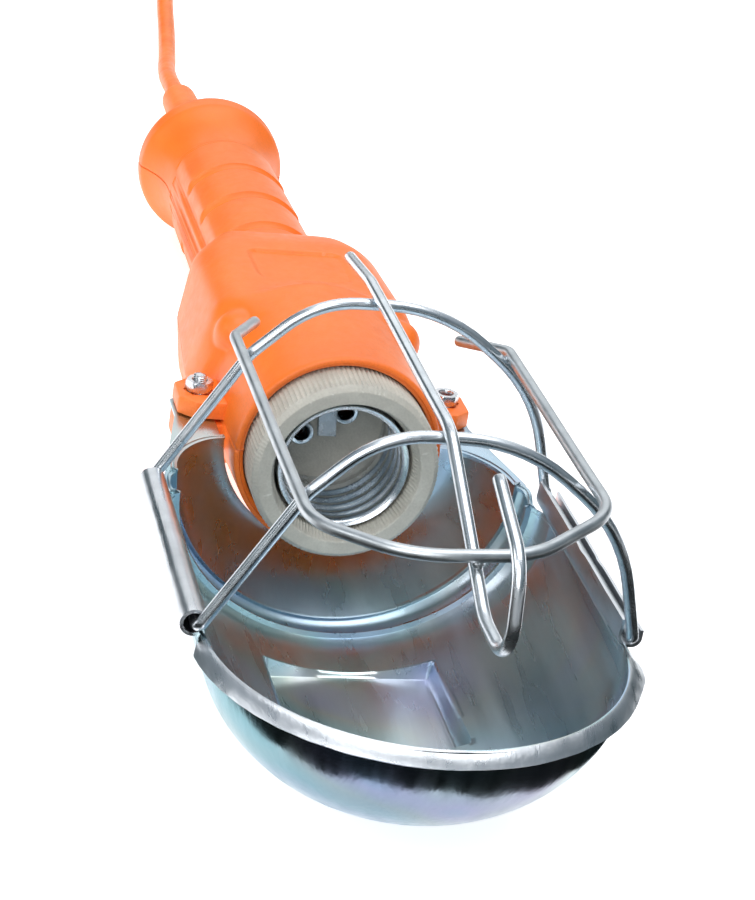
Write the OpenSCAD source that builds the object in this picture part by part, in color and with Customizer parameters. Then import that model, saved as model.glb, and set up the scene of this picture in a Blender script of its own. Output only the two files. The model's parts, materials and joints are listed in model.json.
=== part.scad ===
// Hand-held work light: two-part plastic handle, porcelain lampholder,
// pressed steel reflector and a hinged wire guard with a hanging hook.
// Millimetres. The lamp is modelled along X with X = 0 at the lampholder's
// mouth, then laid on the floor: it rests on the reflector's deepest ring and
// on the handle's end flange.

/* [Handle] */
// Radius of the flange at the handle's end
flange_r = 20.1; // [18:0.1:22]
// X of the flange's rear face
flange_x = -201; // [-210:1:-190]
// Radius of the grip between its rings
grip_r = 14.6; // [14:0.1:15.5]
// Height of the grip's bulges
bulge = 1.3; // [0.5:0.1:2]
// Wall thickness of the plastic housing
wall = 2.4; // [2:0.1:3]

/* [Collar and ears] */
// Outer radius of the collar at its mouth
collar_r = 23; // [22.6:0.1:24]
// X of the collar's mouth
collar_x = -9.5; // [-12:0.5:-8]
// X of the ear screws
ear_x = -30.8; // [-33:0.1:-29]
// Half the distance between the ear screws
ear_y = 28.5; // [27.5:0.1:30]

/* [Lampholder] */
// Outer radius of the porcelain
holder_r = 20.75; // [20:0.05:21]
// Inner radius of the screw shell, for an E27 lamp cap
shell_r = 13.3; // [13.2:0.05:13.5]

/* [Reflector] */
// Half width of the reflector's trough, inside
trough_w = 41.6; // [40:0.1:43]
// Depth of the trough below its rim, inside
trough_d = 34; // [32:0.5:36]
// X where the domed end starts
dome_x = 69; // [65:1:72]
// Length of the domed end
dome_l = 38.8; // [36:0.2:41]
// Thickness of the steel sheet
sheet = 0.8; // [0.6:0.1:1]

/* [Guard] */
// Diameter of the guard's wire
wire_d = 2.5; // [2:0.1:3]
// X of the rear hoop
hoop_rear_x = 6.3; // [5:0.1:6.5]
// X of the front hoop
hoop_front_x = 71; // [70.8:0.1:73]

/* [Cord] */
// Diameter of the cord
cord_d = 5.6; // [5:0.1:6.4]
// Radius of the coil at the middle of its turns
coil_r = 33.6; // [30:0.1:36]

/* [Hidden] */

plastic = "#f2762e";
steel = "#aeb6bb";
porcelain = "#cfcabd";
brass = "#c9a54a";
dark = "#2b2b2b";

// Resting attitude: the handle's flange and the reflector's deepest ring touch the floor.
ring_x = 4;
ring_depth = 36;
ring_z = 0.1 - ring_depth - sheet;
flange_touch_x = flange_x + 1.5;
tilt = atan((-ring_z - flange_r) / (ring_x - flange_touch_x));
lift = flange_r * cos(tilt) - flange_touch_x * sin(tilt);
origin_x = 68.5;

// Puts lamp-axis geometry into its resting attitude.
module place() {
    translate([origin_x, 0, lift]) rotate([0, -tilt, 0]) children();
}

// ---------------------------------------------------------------- helpers

function unit(v) = v / norm(v);
// Points of a round bend of radius r at corner c, between the lines to a and b.
function bend_pts(a, c, b, r) = let (
        u = unit(a - c), v = unit(b - c), half = acos(max(-1, min(1, u * v))) / 2,
        o = c + unit(u + v) * r / sin(half), turn = 180 - 2 * half, n = max(2, ceil(turn / 12)),
        x = unit(c + u * r / tan(half) - o), y = unit(cross(cross(x, -u), x))
    ) [for (i = [0 : n]) let (t = turn * i / n) o + (x * cos(t) + y * sin(t)) * r];
// Centre line through points p, rounded at each inner point by its radius.
function rounded(p, radii) = concat(
    [p[0]], [for (i = [1 : len(p) - 2]) each bend_pts(p[i - 1], p[i], p[i + 1], radii[i])], [p[len(p) - 1]]);

// Round bar of radius r along a centre line, as one closed solid.
module sweep(line, r, sides = 10) {
    n = len(line) - 1;
    dirs = [for (k = [0 : n]) unit(line[min(k + 1, n)] - line[max(k - 1, 0)])];
    across = [for (k = 0, s = unit(cross(dirs[0], [0.1, 0.2, 1])); k <= n;
        k = k + 1, s = k > n ? s : unit(s - dirs[k] * (s * dirs[k]))) s];
    rings = [for (k = [0 : n]) each [for (j = [0 : sides - 1]) let (t = 360 * (j + 0.5) / sides)
        line[k] + (across[k] * cos(t) + cross(across[k], dirs[k]) * sin(t)) * r]];
    walls = [for (k = [0 : n - 1]) for (j = [0 : sides - 1])
        let (q = (j + 1) % sides, e = k * sides, f = e + sides)
        each [[e + j, f + j, f + q], [e + j, f + q, e + q]]];
    start = [[for (j = [0 : sides - 1]) j]];
    end = [[for (j = [sides - 1 : -1 : 0]) n * sides + j]];
    polyhedron(rings, concat(walls, start, end));
}

// Wire through points p, with a bend radius for each inner point.
module wire(p, radii, r) {
    sweep(rounded(p, radii), r);
}

// Solid of revolution about X from [radius, x] points.
module turned(outline, sides = 96) {
    rotate([0, 90, 0]) rotate_extrude($fn = sides) polygon(outline);
}

// Cylinder along X.
module along_x(x0, x1, r, y = 0, z = 0, sides = 48) {
    translate([x0, y, z]) rotate([0, 90, 0]) cylinder(r = r, h = x1 - x0, $fn = sides);
}

module both_sides() {
    children();
    mirror([0, 1, 0]) children();
}

// ---------------------------------------------------------------- housing

grip_x0 = -178;
grip_x1 = -90;
ring_count = 4;
pitch = (grip_x1 - grip_x0) / ring_count;
steps = 6;
flare = [for (i = [0 : steps]) let (t = i / steps)
    [grip_r + (flange_r - grip_r - 0.3) * pow(t, 2.2), grip_x0 - 17 * t]];
grip = [for (k = [ring_count - 1 : -1 : 0]) for (i = [steps : -1 : 1]) let (t = i / steps)
    [grip_r + bulge * pow(sin(180 * pow(t, 1.4)), 0.7), grip_x0 + (k + t) * pitch]];
handle_outline = concat(
    [[0, grip_x1]], grip, flare,
    [[flange_r, flange_x + 4.5], [flange_r, flange_x + 1.5], [flange_r - 1.5, flange_x], [0, flange_x]]
);
neck_r = 12;
collar_back_x = -50;
collar_back_r = 24.4;
holder_seat_x = -38;

// One thin slice of the body box: half widths at the seam, at the shoulder and on top.
module slice(x, seam_w, side_w, top_w, side_z, top_z) {
    translate([x, 0, 0]) rotate([90, 0, 90]) linear_extrude(0.5) polygon([
        [seam_w, 0], [side_w, side_z], [top_w, top_z], [-top_w, top_z], [-side_w, side_z], [-seam_w, 0],
        [-side_w, -side_z], [-top_w, -top_z], [top_w, -top_z], [side_w, -side_z]
    ]);
}

// Body box; inset shrinks it evenly for the cavity.
module body_box(inset = 0) {
    hull() {
        slice(-104 + inset, 14 - inset, 13.2 - inset, 9.5 - inset, 10.5 - inset, 16 - inset);
        slice(-96, 20.5 - inset, 19.2 - inset, 14.5 - inset, 13 - inset, 19 - inset);
        slice(-87, 25 - inset, 23 - inset, 16.5 - inset, 15.5 - inset, 20.5 - inset);
        slice(-50, 28.3 - inset, 23 - inset, 17.3 - inset, 17.5 - inset, 20.9 - inset);
        slice(-39, 27.5 - inset, 24 - inset, 14 - inset, 8 - inset, 18 - inset);
    }
}

module label_recess() {
    hull() {
        for (x = [-78, -62]) for (y = [-9.6, 9.6]) {
            translate([x, y, 20.1]) cylinder(r = 2, h = 4, $fn = 32);
        }
    }
}

module housing_outside() {
    difference() {
        turned(handle_outline);
        both_sides() translate([grip_x0 + 3, 14.9, -6]) cube([70, 5, 12]);
    }
    body_box();
    translate([collar_back_x, 0, 0]) rotate([0, 90, 0])
        cylinder(r1 = collar_back_r, r2 = collar_r, h = collar_x - collar_back_x, $fn = 96);
    for (z = [-13.4, 13.4]) {
        both_sides() translate([-43.5, 18.8, z]) sphere(r = 5.2, $fn = 48);
    }
}

module housing_cavity() {
    along_x(flange_x + 4, grip_x1, neck_r, sides = 64);
    body_box(wall);
    along_x(holder_seat_x, collar_x + 1, holder_r + 0.3, sides = 96);
    along_x(-60, holder_seat_x + 0.5, 17.5, sides = 64);
    along_x(flange_x - 1, flange_x + 5, 6.6, sides = 64);
}

boss_places = [[-150, 7.3], [-110, -7.3], [-76, 15.5], [-76, -15.5]];
ear_top_z = 6;
ear_low_z = -7;
tab_gap = 0.45;

// Outline of one ear, seen from above.
module ear_outline() {
    polygon([
        [ear_x - 7, 20], [ear_x - 7, ear_y + 1.5], [ear_x - 4, ear_y + 5],
        [ear_x + 4, ear_y + 5], [ear_x + 7, ear_y + 1.5], [ear_x + 7, 20]
    ]);
}

module upper_half() {
    difference() {
        intersection() {
            housing_outside();
            translate([-250, -60, 0]) cube([300, 120, 60]);
        }
        housing_cavity();
        label_recess();
        both_sides() translate([collar_x - 4, 20, -1]) cube([5, 6, 2.6]);
    }
}

module housing_upper() {
    color(plastic) place() difference() {
        union() {
            upper_half();
            both_sides() translate([0, 0, tab_gap]) linear_extrude(ear_top_z - tab_gap) ear_outline();
            for (b = boss_places) {
                translate([b.x, b.y, 0.1]) cylinder(r = 3, h = b.x < -90 ? 11 : 17.5, $fn = 32);
            }
        }
        along_x(holder_seat_x, collar_x + 1, holder_r + 0.3, sides = 96);
        for (b = boss_places) translate([b.x, b.y, -1]) cylinder(r = 1.1, h = 9, $fn = 24);
        both_sides() {
            translate([ear_x, ear_y, -1]) cylinder(r = 1.7, h = 12, $fn = 32);
            translate([ear_x, ear_y, 4]) cylinder(r = 3.4, h = 4, $fn = 6);
        }
    }
}

module lower_half() {
    difference() {
        intersection() {
            housing_outside();
            translate([-250, -60, -60]) cube([300, 120, 60]);
        }
        housing_cavity();
    }
}

module housing_lower() {
    color(plastic) place() difference() {
        union() {
            lower_half();
            both_sides() translate([0, 0, ear_low_z]) linear_extrude(-ear_low_z - tab_gap) ear_outline();
            for (b = boss_places) {
                depth = b.x < -90 ? 11 : 17.5;
                translate([b.x, b.y, -depth]) cylinder(r = 3, h = depth, $fn = 32);
            }
            both_sides() translate([clamp_x, clamp_screw_y, -10.5])
                cylinder(r = 2.6, h = 10.5 + clamp_z, $fn = 32);
        }
        along_x(holder_seat_x, collar_x + 1, holder_r + 0.3, sides = 96);
        for (b = boss_places) {
            translate([b.x, b.y, -30]) cylinder(r = 1.6, h = 31, $fn = 32);
            translate([b.x, b.y, -30]) cylinder(r = 3.1, h = b.x < -90 ? 19 : 15, $fn = 32);
        }
        both_sides() {
            translate([ear_x, ear_y, -12]) cylinder(r = 1.7, h = 13, $fn = 32);
            translate([clamp_x, clamp_screw_y, -9]) cylinder(r = 0.9, h = 20, $fn = 24);
        }
    }
}

// Self-tapping screws that hold the halves together, driven from below.
module housing_screws() {
    color(steel) place() for (b = boss_places) {
        seat = b.x < -90 ? -11 : -15;
        translate([b.x, b.y, seat]) cylinder(r = 1.05, h = 7 - seat, $fn = 24);
        translate([b.x, b.y, seat - 2]) cylinder(r = 2.7, h = 2, $fn = 32);
    }
}

// M3 screws through the ears and the reflector's tabs, heads below.
module ear_screws() {
    color(steel) place() both_sides() translate([ear_x, ear_y, 0]) {
        translate([0, 0, ear_low_z - 2]) cylinder(r = 2.8, h = 2, $fn = 32);
        translate([0, 0, ear_low_z]) cylinder(r = 1.5, h = 8.6 - ear_low_z, $fn = 32);
    }
}

module ear_washers() {
    color(steel) place() both_sides() translate([ear_x, ear_y, 4]) difference() {
        cylinder(r = 2.7, h = 0.7, $fn = 32);
        translate([0, 0, -1]) cylinder(r = 1.6, h = 3, $fn = 32);
    }
}

module ear_nuts() {
    color(steel) place() both_sides() translate([ear_x, ear_y, 4.7]) difference() {
        cylinder(r = 3.15, h = 2.4, $fn = 6);
        translate([0, 0, -1]) cylinder(r = 1.55, h = 5, $fn = 32);
    }
}

// ---------------------------------------------------------------- lampholder

holder_back_x = -36;
holder_floor_x = -27;
rivet_r = 5.5;
rivet_turn = 30;

module holder_body() {
    color(porcelain) place() difference() {
        turned([
            [0, holder_back_x], [holder_r, holder_back_x], [holder_r, -1.5], [holder_r - 1.2, 0],
            [16.2, 0], [15.3, -3.5], [15, holder_floor_x], [0, holder_floor_x]
        ]);
        for (a = [rivet_turn, rivet_turn + 180]) rotate([a, 0, 0]) {
            along_x(holder_back_x - 1, -20, 2.5, y = rivet_r, sides = 32);
        }
        along_x(holder_back_x - 1, -20, 1.5, z = 9.5, sides = 32);
    }
}

// Threaded metal sleeve for the lamp cap, with three rolled turns and a flared lip.
bead_x = [-8, -12.2, -16.4];
bore_x0 = -21;
bore_x1 = -4.9;
module screw_shell() {
    color(steel) place() difference() {
        union() {
            turned([
                [shell_r - 0.3, holder_floor_x + 0.1], [shell_r + 1, holder_floor_x + 0.1],
                [shell_r + 1, bore_x0 - 0.5], [shell_r + 0.5, bore_x0 + 0.5], [shell_r + 0.5, -5],
                [shell_r + 1.3, -3.6], [shell_r + 0.8, -3.5], [shell_r, bore_x1], [shell_r - 0.3, bore_x1]
            ]);
            for (x = bead_x) translate([x, 0, 0]) rotate([0, 90, 0])
                rotate_extrude($fn = 96) translate([shell_r + 0.15, 0]) circle(r = 0.75, $fn = 24);
        }
        along_x(bore_x0, bore_x1 + 1, shell_r, sides = 96);
        along_x(holder_floor_x - 1, bore_x0, shell_r + 0.5, sides = 96);
    }
}

// Hollow rivets through the porcelain floor.
module shell_rivets() {
    color(steel) place() for (a = [rivet_turn, rivet_turn + 180]) rotate([a, 0, 0]) difference() {
        union() {
            along_x(holder_back_x - 0.6, holder_floor_x + 0.7, 2.4, y = rivet_r, sides = 32);
            along_x(holder_floor_x + 0.05, holder_floor_x + 0.7, 3.1, y = rivet_r, sides = 32);
        }
        along_x(holder_back_x - 2, holder_floor_x + 2, 1.8, y = rivet_r, sides = 32);
    }
}

// Riveted foot of the centre contact.
contact_z = 9.5;
knuckle_z = 6.4;
knuckle_x = holder_floor_x + 1.4;
module contact_foot() {
    color(brass) place() {
        along_x(holder_back_x - 0.6, holder_floor_x + 0.1, 1.4, z = contact_z, sides = 32);
        translate([holder_floor_x + 0.1, -2.3, knuckle_z + 0.75]) cube([0.6, 4.6, 4.6]);
    }
}

// Sprung tongue that presses on the lamp cap's centre; it turns about its rolled root.
module centre_contact() {
    color(brass) place() translate([knuckle_x, 0, knuckle_z]) {
        rotate([90, 0, 0]) translate([0, 0, -2.3]) cylinder(r = 0.7, h = 4.6, $fn = 32);
        rotate([0, -25, 0]) translate([-0.3, -2.3, -8.6]) cube([0.6, 4.6, 8.6]);
    }
}

terminal_y = 8;
module terminal_blocks() {
    color(brass) place() both_sides() difference() {
        translate([-45, terminal_y - 3.5, -11.5]) cube([9 - 0.1, 7, 6]);
        along_x(-46, -37.5, 1.2, y = terminal_y, z = -8.5, sides = 24);
        translate([-41, terminal_y, -8.5]) cylinder(r = 1.3, h = 8, $fn = 24);
    }
}

module terminal_screws() {
    color(steel) place() both_sides() translate([-41, terminal_y, 0]) {
        translate([0, 0, -7.2]) cylinder(r = 1.25, h = 3, $fn = 24);
        translate([0, 0, -4.6]) cylinder(r = 2.3, h = 1.8, $fn = 32);
    }
}

// Insulated leads from the cord's end to the terminals.
module lead(side) {
    wire([[-165.9, 1.3 * side, 0], [-150, 1.3 * side, 0], [-95, 3 * side, -3],
          [-62, terminal_y * side, -8.5], [-38, terminal_y * side, -8.5]], [0, 12, 30, 14, 0], 1.1);
}
module lead_live() {
    color("#7a4a2a") place() lead(1);
}
module lead_neutral() {
    color("#3a62a8") place() lead(-1);
}

// ---------------------------------------------------------------- cord entry

clamp_x = -173;
clamp_z = cord_d / 2 - 0.1;
clamp_screw_y = 7;
module cord_clamp() {
    color("#e9e2d0") place() difference() {
        translate([clamp_x - 3, -9.5, clamp_z + 0.1]) cube([6, 19, 2.4]);
        both_sides() translate([clamp_x, clamp_screw_y, 0]) cylinder(r = 1.3, h = 8, $fn = 24);
    }
}

module clamp_screws() {
    color(steel) place() both_sides() translate([clamp_x, clamp_screw_y, 0]) {
        translate([0, 0, -5.5]) cylinder(r = 0.85, h = clamp_z + 8.1, $fn = 24);
        translate([0, 0, clamp_z + 2.6]) cylinder(r = 2.2, h = 1.4, $fn = 32);
    }
}

gland_end_x = -262;
module cord_gland() {
    color("#f08a3a") place() difference() {
        turned([
            [0, flange_x + 7.5], [8.5, flange_x + 7.5], [8.5, flange_x + 4.3], [6.4, flange_x + 4.3],
            [6.4, flange_x - 2], [5.1, gland_end_x + 3], [4.4, gland_end_x + 1], [3.3, gland_end_x],
            [0, gland_end_x]
        ], 64);
        along_x(gland_end_x - 1, flange_x + 9, cord_d / 2 + 0.05, sides = 32);
    }
}

module cord_inner() {
    color("#f08a3a") place() along_x(gland_end_x, -166, cord_d / 2, sides = 32);
}

// ---------------------------------------------------------------- reflector

// Raised pad pressed into the trough's bottom, on which the lamp can be set down.
foot_x0 = 26;
foot_x1 = 58;
foot_y = 17.5;
foot_z = -(trough_d + sheet + 1.5);

// Rows of the pressed sheet, as [x, half width, depth, rim z], from the neck to the dome's tip.
dish_rows = [
    [-16, 24.4, 24.4, 0.4], [-15.2, 28, 25.6, 0.4], [-13, 31.5, 27.4, 0.4], [-9, 34.8, 29.9, 0.4],
    [-4, 37, 32.5, 0.4], [1.7, 38, 35, 0.4], [ring_x, 39.6, ring_depth, 0.1], [7.5, 39.4, 35, -0.8],
    [10, 38.6, 33.4, -1], [13, 40.6, 34, -1]
];
trough_x = 17;
function trough_depth(x) = trough_d - 0.2 - 1.2 * (x - trough_x) / (dome_x - trough_x);
trough_rows = [for (x = [trough_x : 5.2 : dome_x]) [x, trough_w, trough_depth(x), -1]];
dome_steps = 13;
dome_rows = [for (i = [1 : dome_steps]) let (a = 87 * i / dome_steps)
    [dome_x + dome_l * sin(a), trough_w * cos(a), (trough_d - 1.4) * cos(a), -1 - 1.5 * sin(a)]];
rows = concat(dish_rows, trough_rows, dome_rows);
arc_steps = 32;

// How far the rim's lip stands out, and how far it turns down.
function lip_out(x) = x < dome_x + 3 ? 1.7 : 2.9;
function lip_down(x) = x < dome_x + 3 ? 1.3 : 4.2;
// Outward direction of the rim, seen from above.
function rim_n(row) = row.x <= dome_x ? [0, 1]
    : unit([(row.x - dome_x) / pow(dome_l, 2), row.y / pow(trough_w, 2)]);
// Smooth step from 1 inside to 0 at distance d outside the foot's outline.
function fade(d) = d <= 0 ? 1 : d >= 2.5 ? 0 : 1 - d / 2.5;
function foot_share(x, y) = min(fade(foot_x0 - x), fade(x - foot_x1), fade(abs(y) - foot_y));
// Sinks a point onto the foot's flat bottom where the foot is; up lifts it by the sheet's thickness.
function sink(p, up) = let (s = foot_share(p.x, p.y), z = foot_z + up)
    s > 0 && z < p.z ? [p.x, p.y, p.z * (1 - s) + z * s] : p;
// Half of the lip on one side: side is -1 or 1, back is 0 for the top skin and 1 for the under skin.
function lip(row, side, back) = let (
        n = rim_n(row), out = lip_out(row.x), down = lip_down(row.x), t = sheet * back,
        at = function(o, z) [row.x + n.x * o, side * (row.y + n.y * o), row[3] + z]
    ) [at(out - t, -down), at(out - t, -t), at(t, -t)];
function arc_pt(row, i, t) = let (a = 180 * i / arc_steps)
    sink([row.x, -(row.y + t) * cos(a), row[3] - (row[2] + t) * sin(a)], sheet - t);
function skin_row(row, back) = let (l = lip(row, -1, back), r = lip(row, 1, back)) concat(
    l, [for (i = [1 : arc_steps - 1]) arc_pt(row, i, sheet * back)], [r[2], r[1], r[0]]);

module sheet_shell() {
    n = len(rows);
    m = arc_steps + 5;
    points = concat([for (r = rows) each skin_row(r, 0)], [for (r = rows) each skin_row(r, 1)]);
    function id(back, i, j) = back * n * m + i * m + j;
    function quad(a, b, c, d) = [[a, b, c], [a, c, d]];
    inner = [for (i = [0 : n - 2]) for (j = [0 : m - 2])
        each quad(id(0, i, j), id(0, i, j + 1), id(0, i + 1, j + 1), id(0, i + 1, j))];
    outer = [for (i = [0 : n - 2]) for (j = [0 : m - 2])
        each quad(id(1, i, j), id(1, i + 1, j), id(1, i + 1, j + 1), id(1, i, j + 1))];
    rear = [for (j = [0 : m - 2]) each quad(id(0, 0, j), id(1, 0, j), id(1, 0, j + 1), id(0, 0, j + 1))];
    left = [for (i = [0 : n - 2]) each quad(id(0, i, 0), id(0, i + 1, 0), id(1, i + 1, 0), id(1, i, 0))];
    right = [for (i = [0 : n - 2])
        each quad(id(0, i, m - 1), id(1, i, m - 1), id(1, i + 1, m - 1), id(0, i + 1, m - 1))];
    tip_in = [for (j = [0 : (m - 1) / 2 - 1])
        each (j == (m - 1) / 2 - 1 ? [[id(0, n - 1, j), id(0, n - 1, j + 1), id(0, n - 1, m - 1 - j)]]
            : quad(id(0, n - 1, j), id(0, n - 1, j + 1), id(0, n - 1, m - 2 - j), id(0, n - 1, m - 1 - j)))];
    tip_out = [for (j = [0 : (m - 1) / 2 - 1])
        each (j == (m - 1) / 2 - 1 ? [[id(1, n - 1, j + 1), id(1, n - 1, j), id(1, n - 1, m - 1 - j)]]
            : quad(id(1, n - 1, j + 1), id(1, n - 1, j), id(1, n - 1, m - 1 - j), id(1, n - 1, m - 2 - j)))];
    tip_end = quad(id(0, n - 1, 0), id(0, n - 1, m - 1), id(1, n - 1, m - 1), id(1, n - 1, 0));
    polyhedron(points, concat(inner, outer, rear, left, right, tip_in, tip_out, tip_end));
}

// Rolled edges: the guard's hinge tube on the left and the open latch channel on the right.
hinge_y = -43.2;
hinge_z = 0.6;
tube_y = -43.7;
tube_r = 2.8;
edge_x0 = 8;
edge_x1 = 69.4;
module hinge_tube() {
    difference() {
        along_x(edge_x0, edge_x1, tube_r, y = tube_y, z = hinge_z, sides = 48);
        along_x(edge_x0 - 1, edge_x1 + 1, tube_r - 0.7, y = tube_y, z = hinge_z, sides = 48);
    }
}

latch_y = 43.2;
module latch_channel() {
    difference() {
        along_x(edge_x0, edge_x1, 2.6, y = latch_y, z = hinge_z, sides = 48);
        along_x(edge_x0 - 1, edge_x1 + 1, 1.9, y = latch_y, z = hinge_z, sides = 48);
        translate([edge_x0 - 1, latch_y - 1.6, hinge_z + 0.6]) cube([edge_x1 - edge_x0 + 2, 3.2, 3]);
    }
}

// Flat tabs that the ear screws clamp, widening into the dish's rear edge.
module reflector_tab() {
    difference() {
        translate([0, 0, -0.4]) linear_extrude(0.8) polygon([
            [ear_x - 6.5, 25.2], [ear_x - 6.5, ear_y + 2], [ear_x - 4, ear_y + 5.5],
            [ear_x + 4.5, ear_y + 5.5], [2.5, 40.2], [2.5, 38.3], [-4, 37.4], [-9, 35.2],
            [-13, 32], [-15.2, 28.6], [-16.6, 25.2]
        ]);
        translate([ear_x, ear_y, -2]) cylinder(r = 1.7, h = 4, $fn = 32);
    }
}

module reflector() {
    color(steel) place() {
        sheet_shell();
        hinge_tube();
        latch_channel();
        both_sides() reflector_tab();
    }
}

// ---------------------------------------------------------------- guard

wire_r = wire_d / 2;
rod_inset = 3.4;
rod_x0 = hoop_rear_x + rod_inset;
rod_x1 = hoop_front_x - rod_inset;
module guard_hinge_rod() {
    color(steel) place() along_x(rod_x0, rod_x1, wire_r, y = hinge_y, z = hinge_z, sides = 32);
}
module guard_latch_rod() {
    color(steel) place() along_x(rod_x0, rod_x1, wire_r, y = latch_y, z = hinge_z, sides = 32);
}

hoop_r = 43.6;
function hoop_pt(x, a) = [x, hoop_r * cos(a), hinge_z + hoop_r * sin(a)];
// One hoop; toward is 1 when its feet bend forwards into the rods, -1 when backwards.
module hoop(x, toward) {
    wire([
        [x + rod_inset * toward, hinge_y, hinge_z], [x, hinge_y, hinge_z], [x, -26.3, 29.4],
        hoop_pt(x, 108), hoop_pt(x, 72), hoop_pt(x, 33), [x, latch_y, hinge_z],
        [x + rod_inset * toward, latch_y, hinge_z]
    ], [0, 2.8, 14, 34, 36, 40, 2.8, 0], wire_r);
}
module guard_rear_hoop() {
    color(steel) place() hoop(hoop_rear_x, 1);
}
module guard_front_hoop() {
    color(steel) place() hoop(hoop_front_x, -1);
}

// Side wires and the curved front, in one piece of wire that lies on the hoops.
module guard_bow() {
    color(steel) place() wire([
        [-15, -21.5, 28], [1.5, -28.9, 31.2], [86, -28.6, 31.2], [101.6, -14, 33], [101.2, 9, 33.6],
        [84.5, 28.4, 34.6], [4, 29.8, 32.4], [-12, 23.6, 27.6]
    ], [0, 6, 16, 18, 18, 16, 6, 0], wire_r);
}

// Top wire that runs on and turns back into the hanging hook.
hook_y = -1.5;
module guard_hook() {
    color(steel) place() wire([
        [-20, hook_y, 42.4], [0, hook_y, 44.65], [72.5, hook_y, 44.65], [110, hook_y, 25.4],
        [127.6, hook_y, 25.4], [124, hook_y, 43.6], [104.5, hook_y, 50]
    ], [0, 6, 20, 12, 8, 9, 0], wire_r);
}

// ---------------------------------------------------------------- cord

cord_z = cord_d / 2;
turn_pitch = cord_d + 0.1;
coil_columns = 4;
coil_layers = 6;
coil_half_w = ((coil_columns - 1) * turn_pitch + cord_d) / 2;
coil_h = (coil_layers - 1) * turn_pitch + cord_d;
coil_c = [-388, -20];

exit_pt = [origin_x + gland_end_x * cos(tilt), 0, lift + gland_end_x * sin(tilt)];
// Route from the gland to the coil, laid on the floor.
run_route = [
    exit_pt, [-201, 0, 14.1], [-212, 0.4, 12.2], [-224, 1.4, 9.8], [-236, 3, 7.4], [-250, 5.2, 5],
    [-266, 7.4, 3.4], [-284, 9.6, cord_z], [-304, 11.7, cord_z], [-324, 14.3, cord_z],
    [-344, 17.4, cord_z], [-366, 20.8, cord_z], [-388, 22.15, cord_z]
];
// Route from the coil to the plug.
tail_route = [
    [-388, -62.15, 31.3], [-378, -62.2, 30.6], [-366, -62.8, 27.6], [-352, -64, 22], [-338, -65.8, 16],
    [-324, -67.8, 11], [-312, -69.3, 8], [-302, -70, 7]
];

// Point on a smooth curve through the route's points, t from 0 to its last index.
function curve(p, t) = let (
        n = len(p) - 1, i = min(floor(t), n - 1), f = t - i,
        a = p[max(i - 1, 0)], b = p[i], c = p[i + 1], d = p[min(i + 2, n)]
    ) ((2 * b) + (c - a) * f + (2 * a - 5 * b + 4 * c - d) * f * f + (3 * b - a - 3 * c + d) * f * f * f) / 2;

module tube(route, per_span) {
    n = (len(route) - 1) * per_span;
    sweep([for (k = [0 : n]) curve(route, k / per_span)], cord_d / 2);
}

module cord_run() {
    color("#f28c3c") tube(run_route, 3);
}
module cord_tail() {
    color("#f28c3c") tube(tail_route, 3);
}
module cord_coil() {
    color("#f28c3c") translate([coil_c.x, coil_c.y, 0]) rotate_extrude($fn = 96)
        translate([coil_r - coil_half_w, 0]) square([2 * coil_half_w, coil_h]);
}

// Plastic tie round the coil's turns.
module coil_tie() {
    color(dark) translate([coil_c.x, coil_c.y, 0]) rotate([0, 0, -35]) difference() {
        translate([coil_r - coil_half_w - 1.4, -2.2, 0]) cube([2 * coil_half_w + 2.8, 4.4, coil_h + 1.4]);
        translate([coil_r - coil_half_w - 0.2, -3, -1]) cube([2 * coil_half_w + 0.4, 6, coil_h + 1.2]);
    }
}

// Flat two-pin plug, lying beside the coil.
plug_x = -302;
plug_y = -70;
plug_z = 7;
pin_y = 9.3;
module plug_body() {
    color("#f0792f") translate([plug_x, plug_y, plug_z]) difference() {
        union() {
            rotate([0, 90, 0]) cylinder(r1 = 3.6, r2 = 5.2, h = 16, $fn = 48);
            hull() {
                along_x(12, 13, 5.4, sides = 32);
                both_sides() along_x(26, 38, 6.8, y = 11, sides = 32);
            }
        }
        both_sides() along_x(30, 42, 2.1, y = pin_y, sides = 32);
    }
}
module plug_pins() {
    color(steel) translate([plug_x, plug_y, plug_z]) both_sides() {
        along_x(30, 56, 2, y = pin_y, sides = 32);
        translate([56, pin_y, 0]) sphere(r = 2, $fn = 32);
    }
}

housing_upper();
housing_lower();
housing_screws();
ear_screws();
ear_nuts();
ear_washers();
holder_body();
screw_shell();
shell_rivets();
contact_foot();
centre_contact();
terminal_blocks();
terminal_screws();
lead_live();
lead_neutral();
cord_clamp();
clamp_screws();
cord_gland();
cord_inner();
reflector();
guard_hinge_rod();
guard_latch_rod();
guard_rear_hoop();
guard_front_hoop();
guard_bow();
guard_hook();
cord_run();
cord_coil();
cord_tail();
coil_tie();
plug_body();
plug_pins();
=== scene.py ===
"""Visual model of a hand-held work light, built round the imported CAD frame.

Lamp pieces are drawn in millimetres in the lamp's own frame: X runs along the handle with 0 at the
lampholder's mouth, Z is up out of the reflector. to_row() lays them into the row frame in metres.
"""
import json
import math

import bmesh
import bpy
import numpy as np
from mathutils import Matrix, Vector


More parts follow.
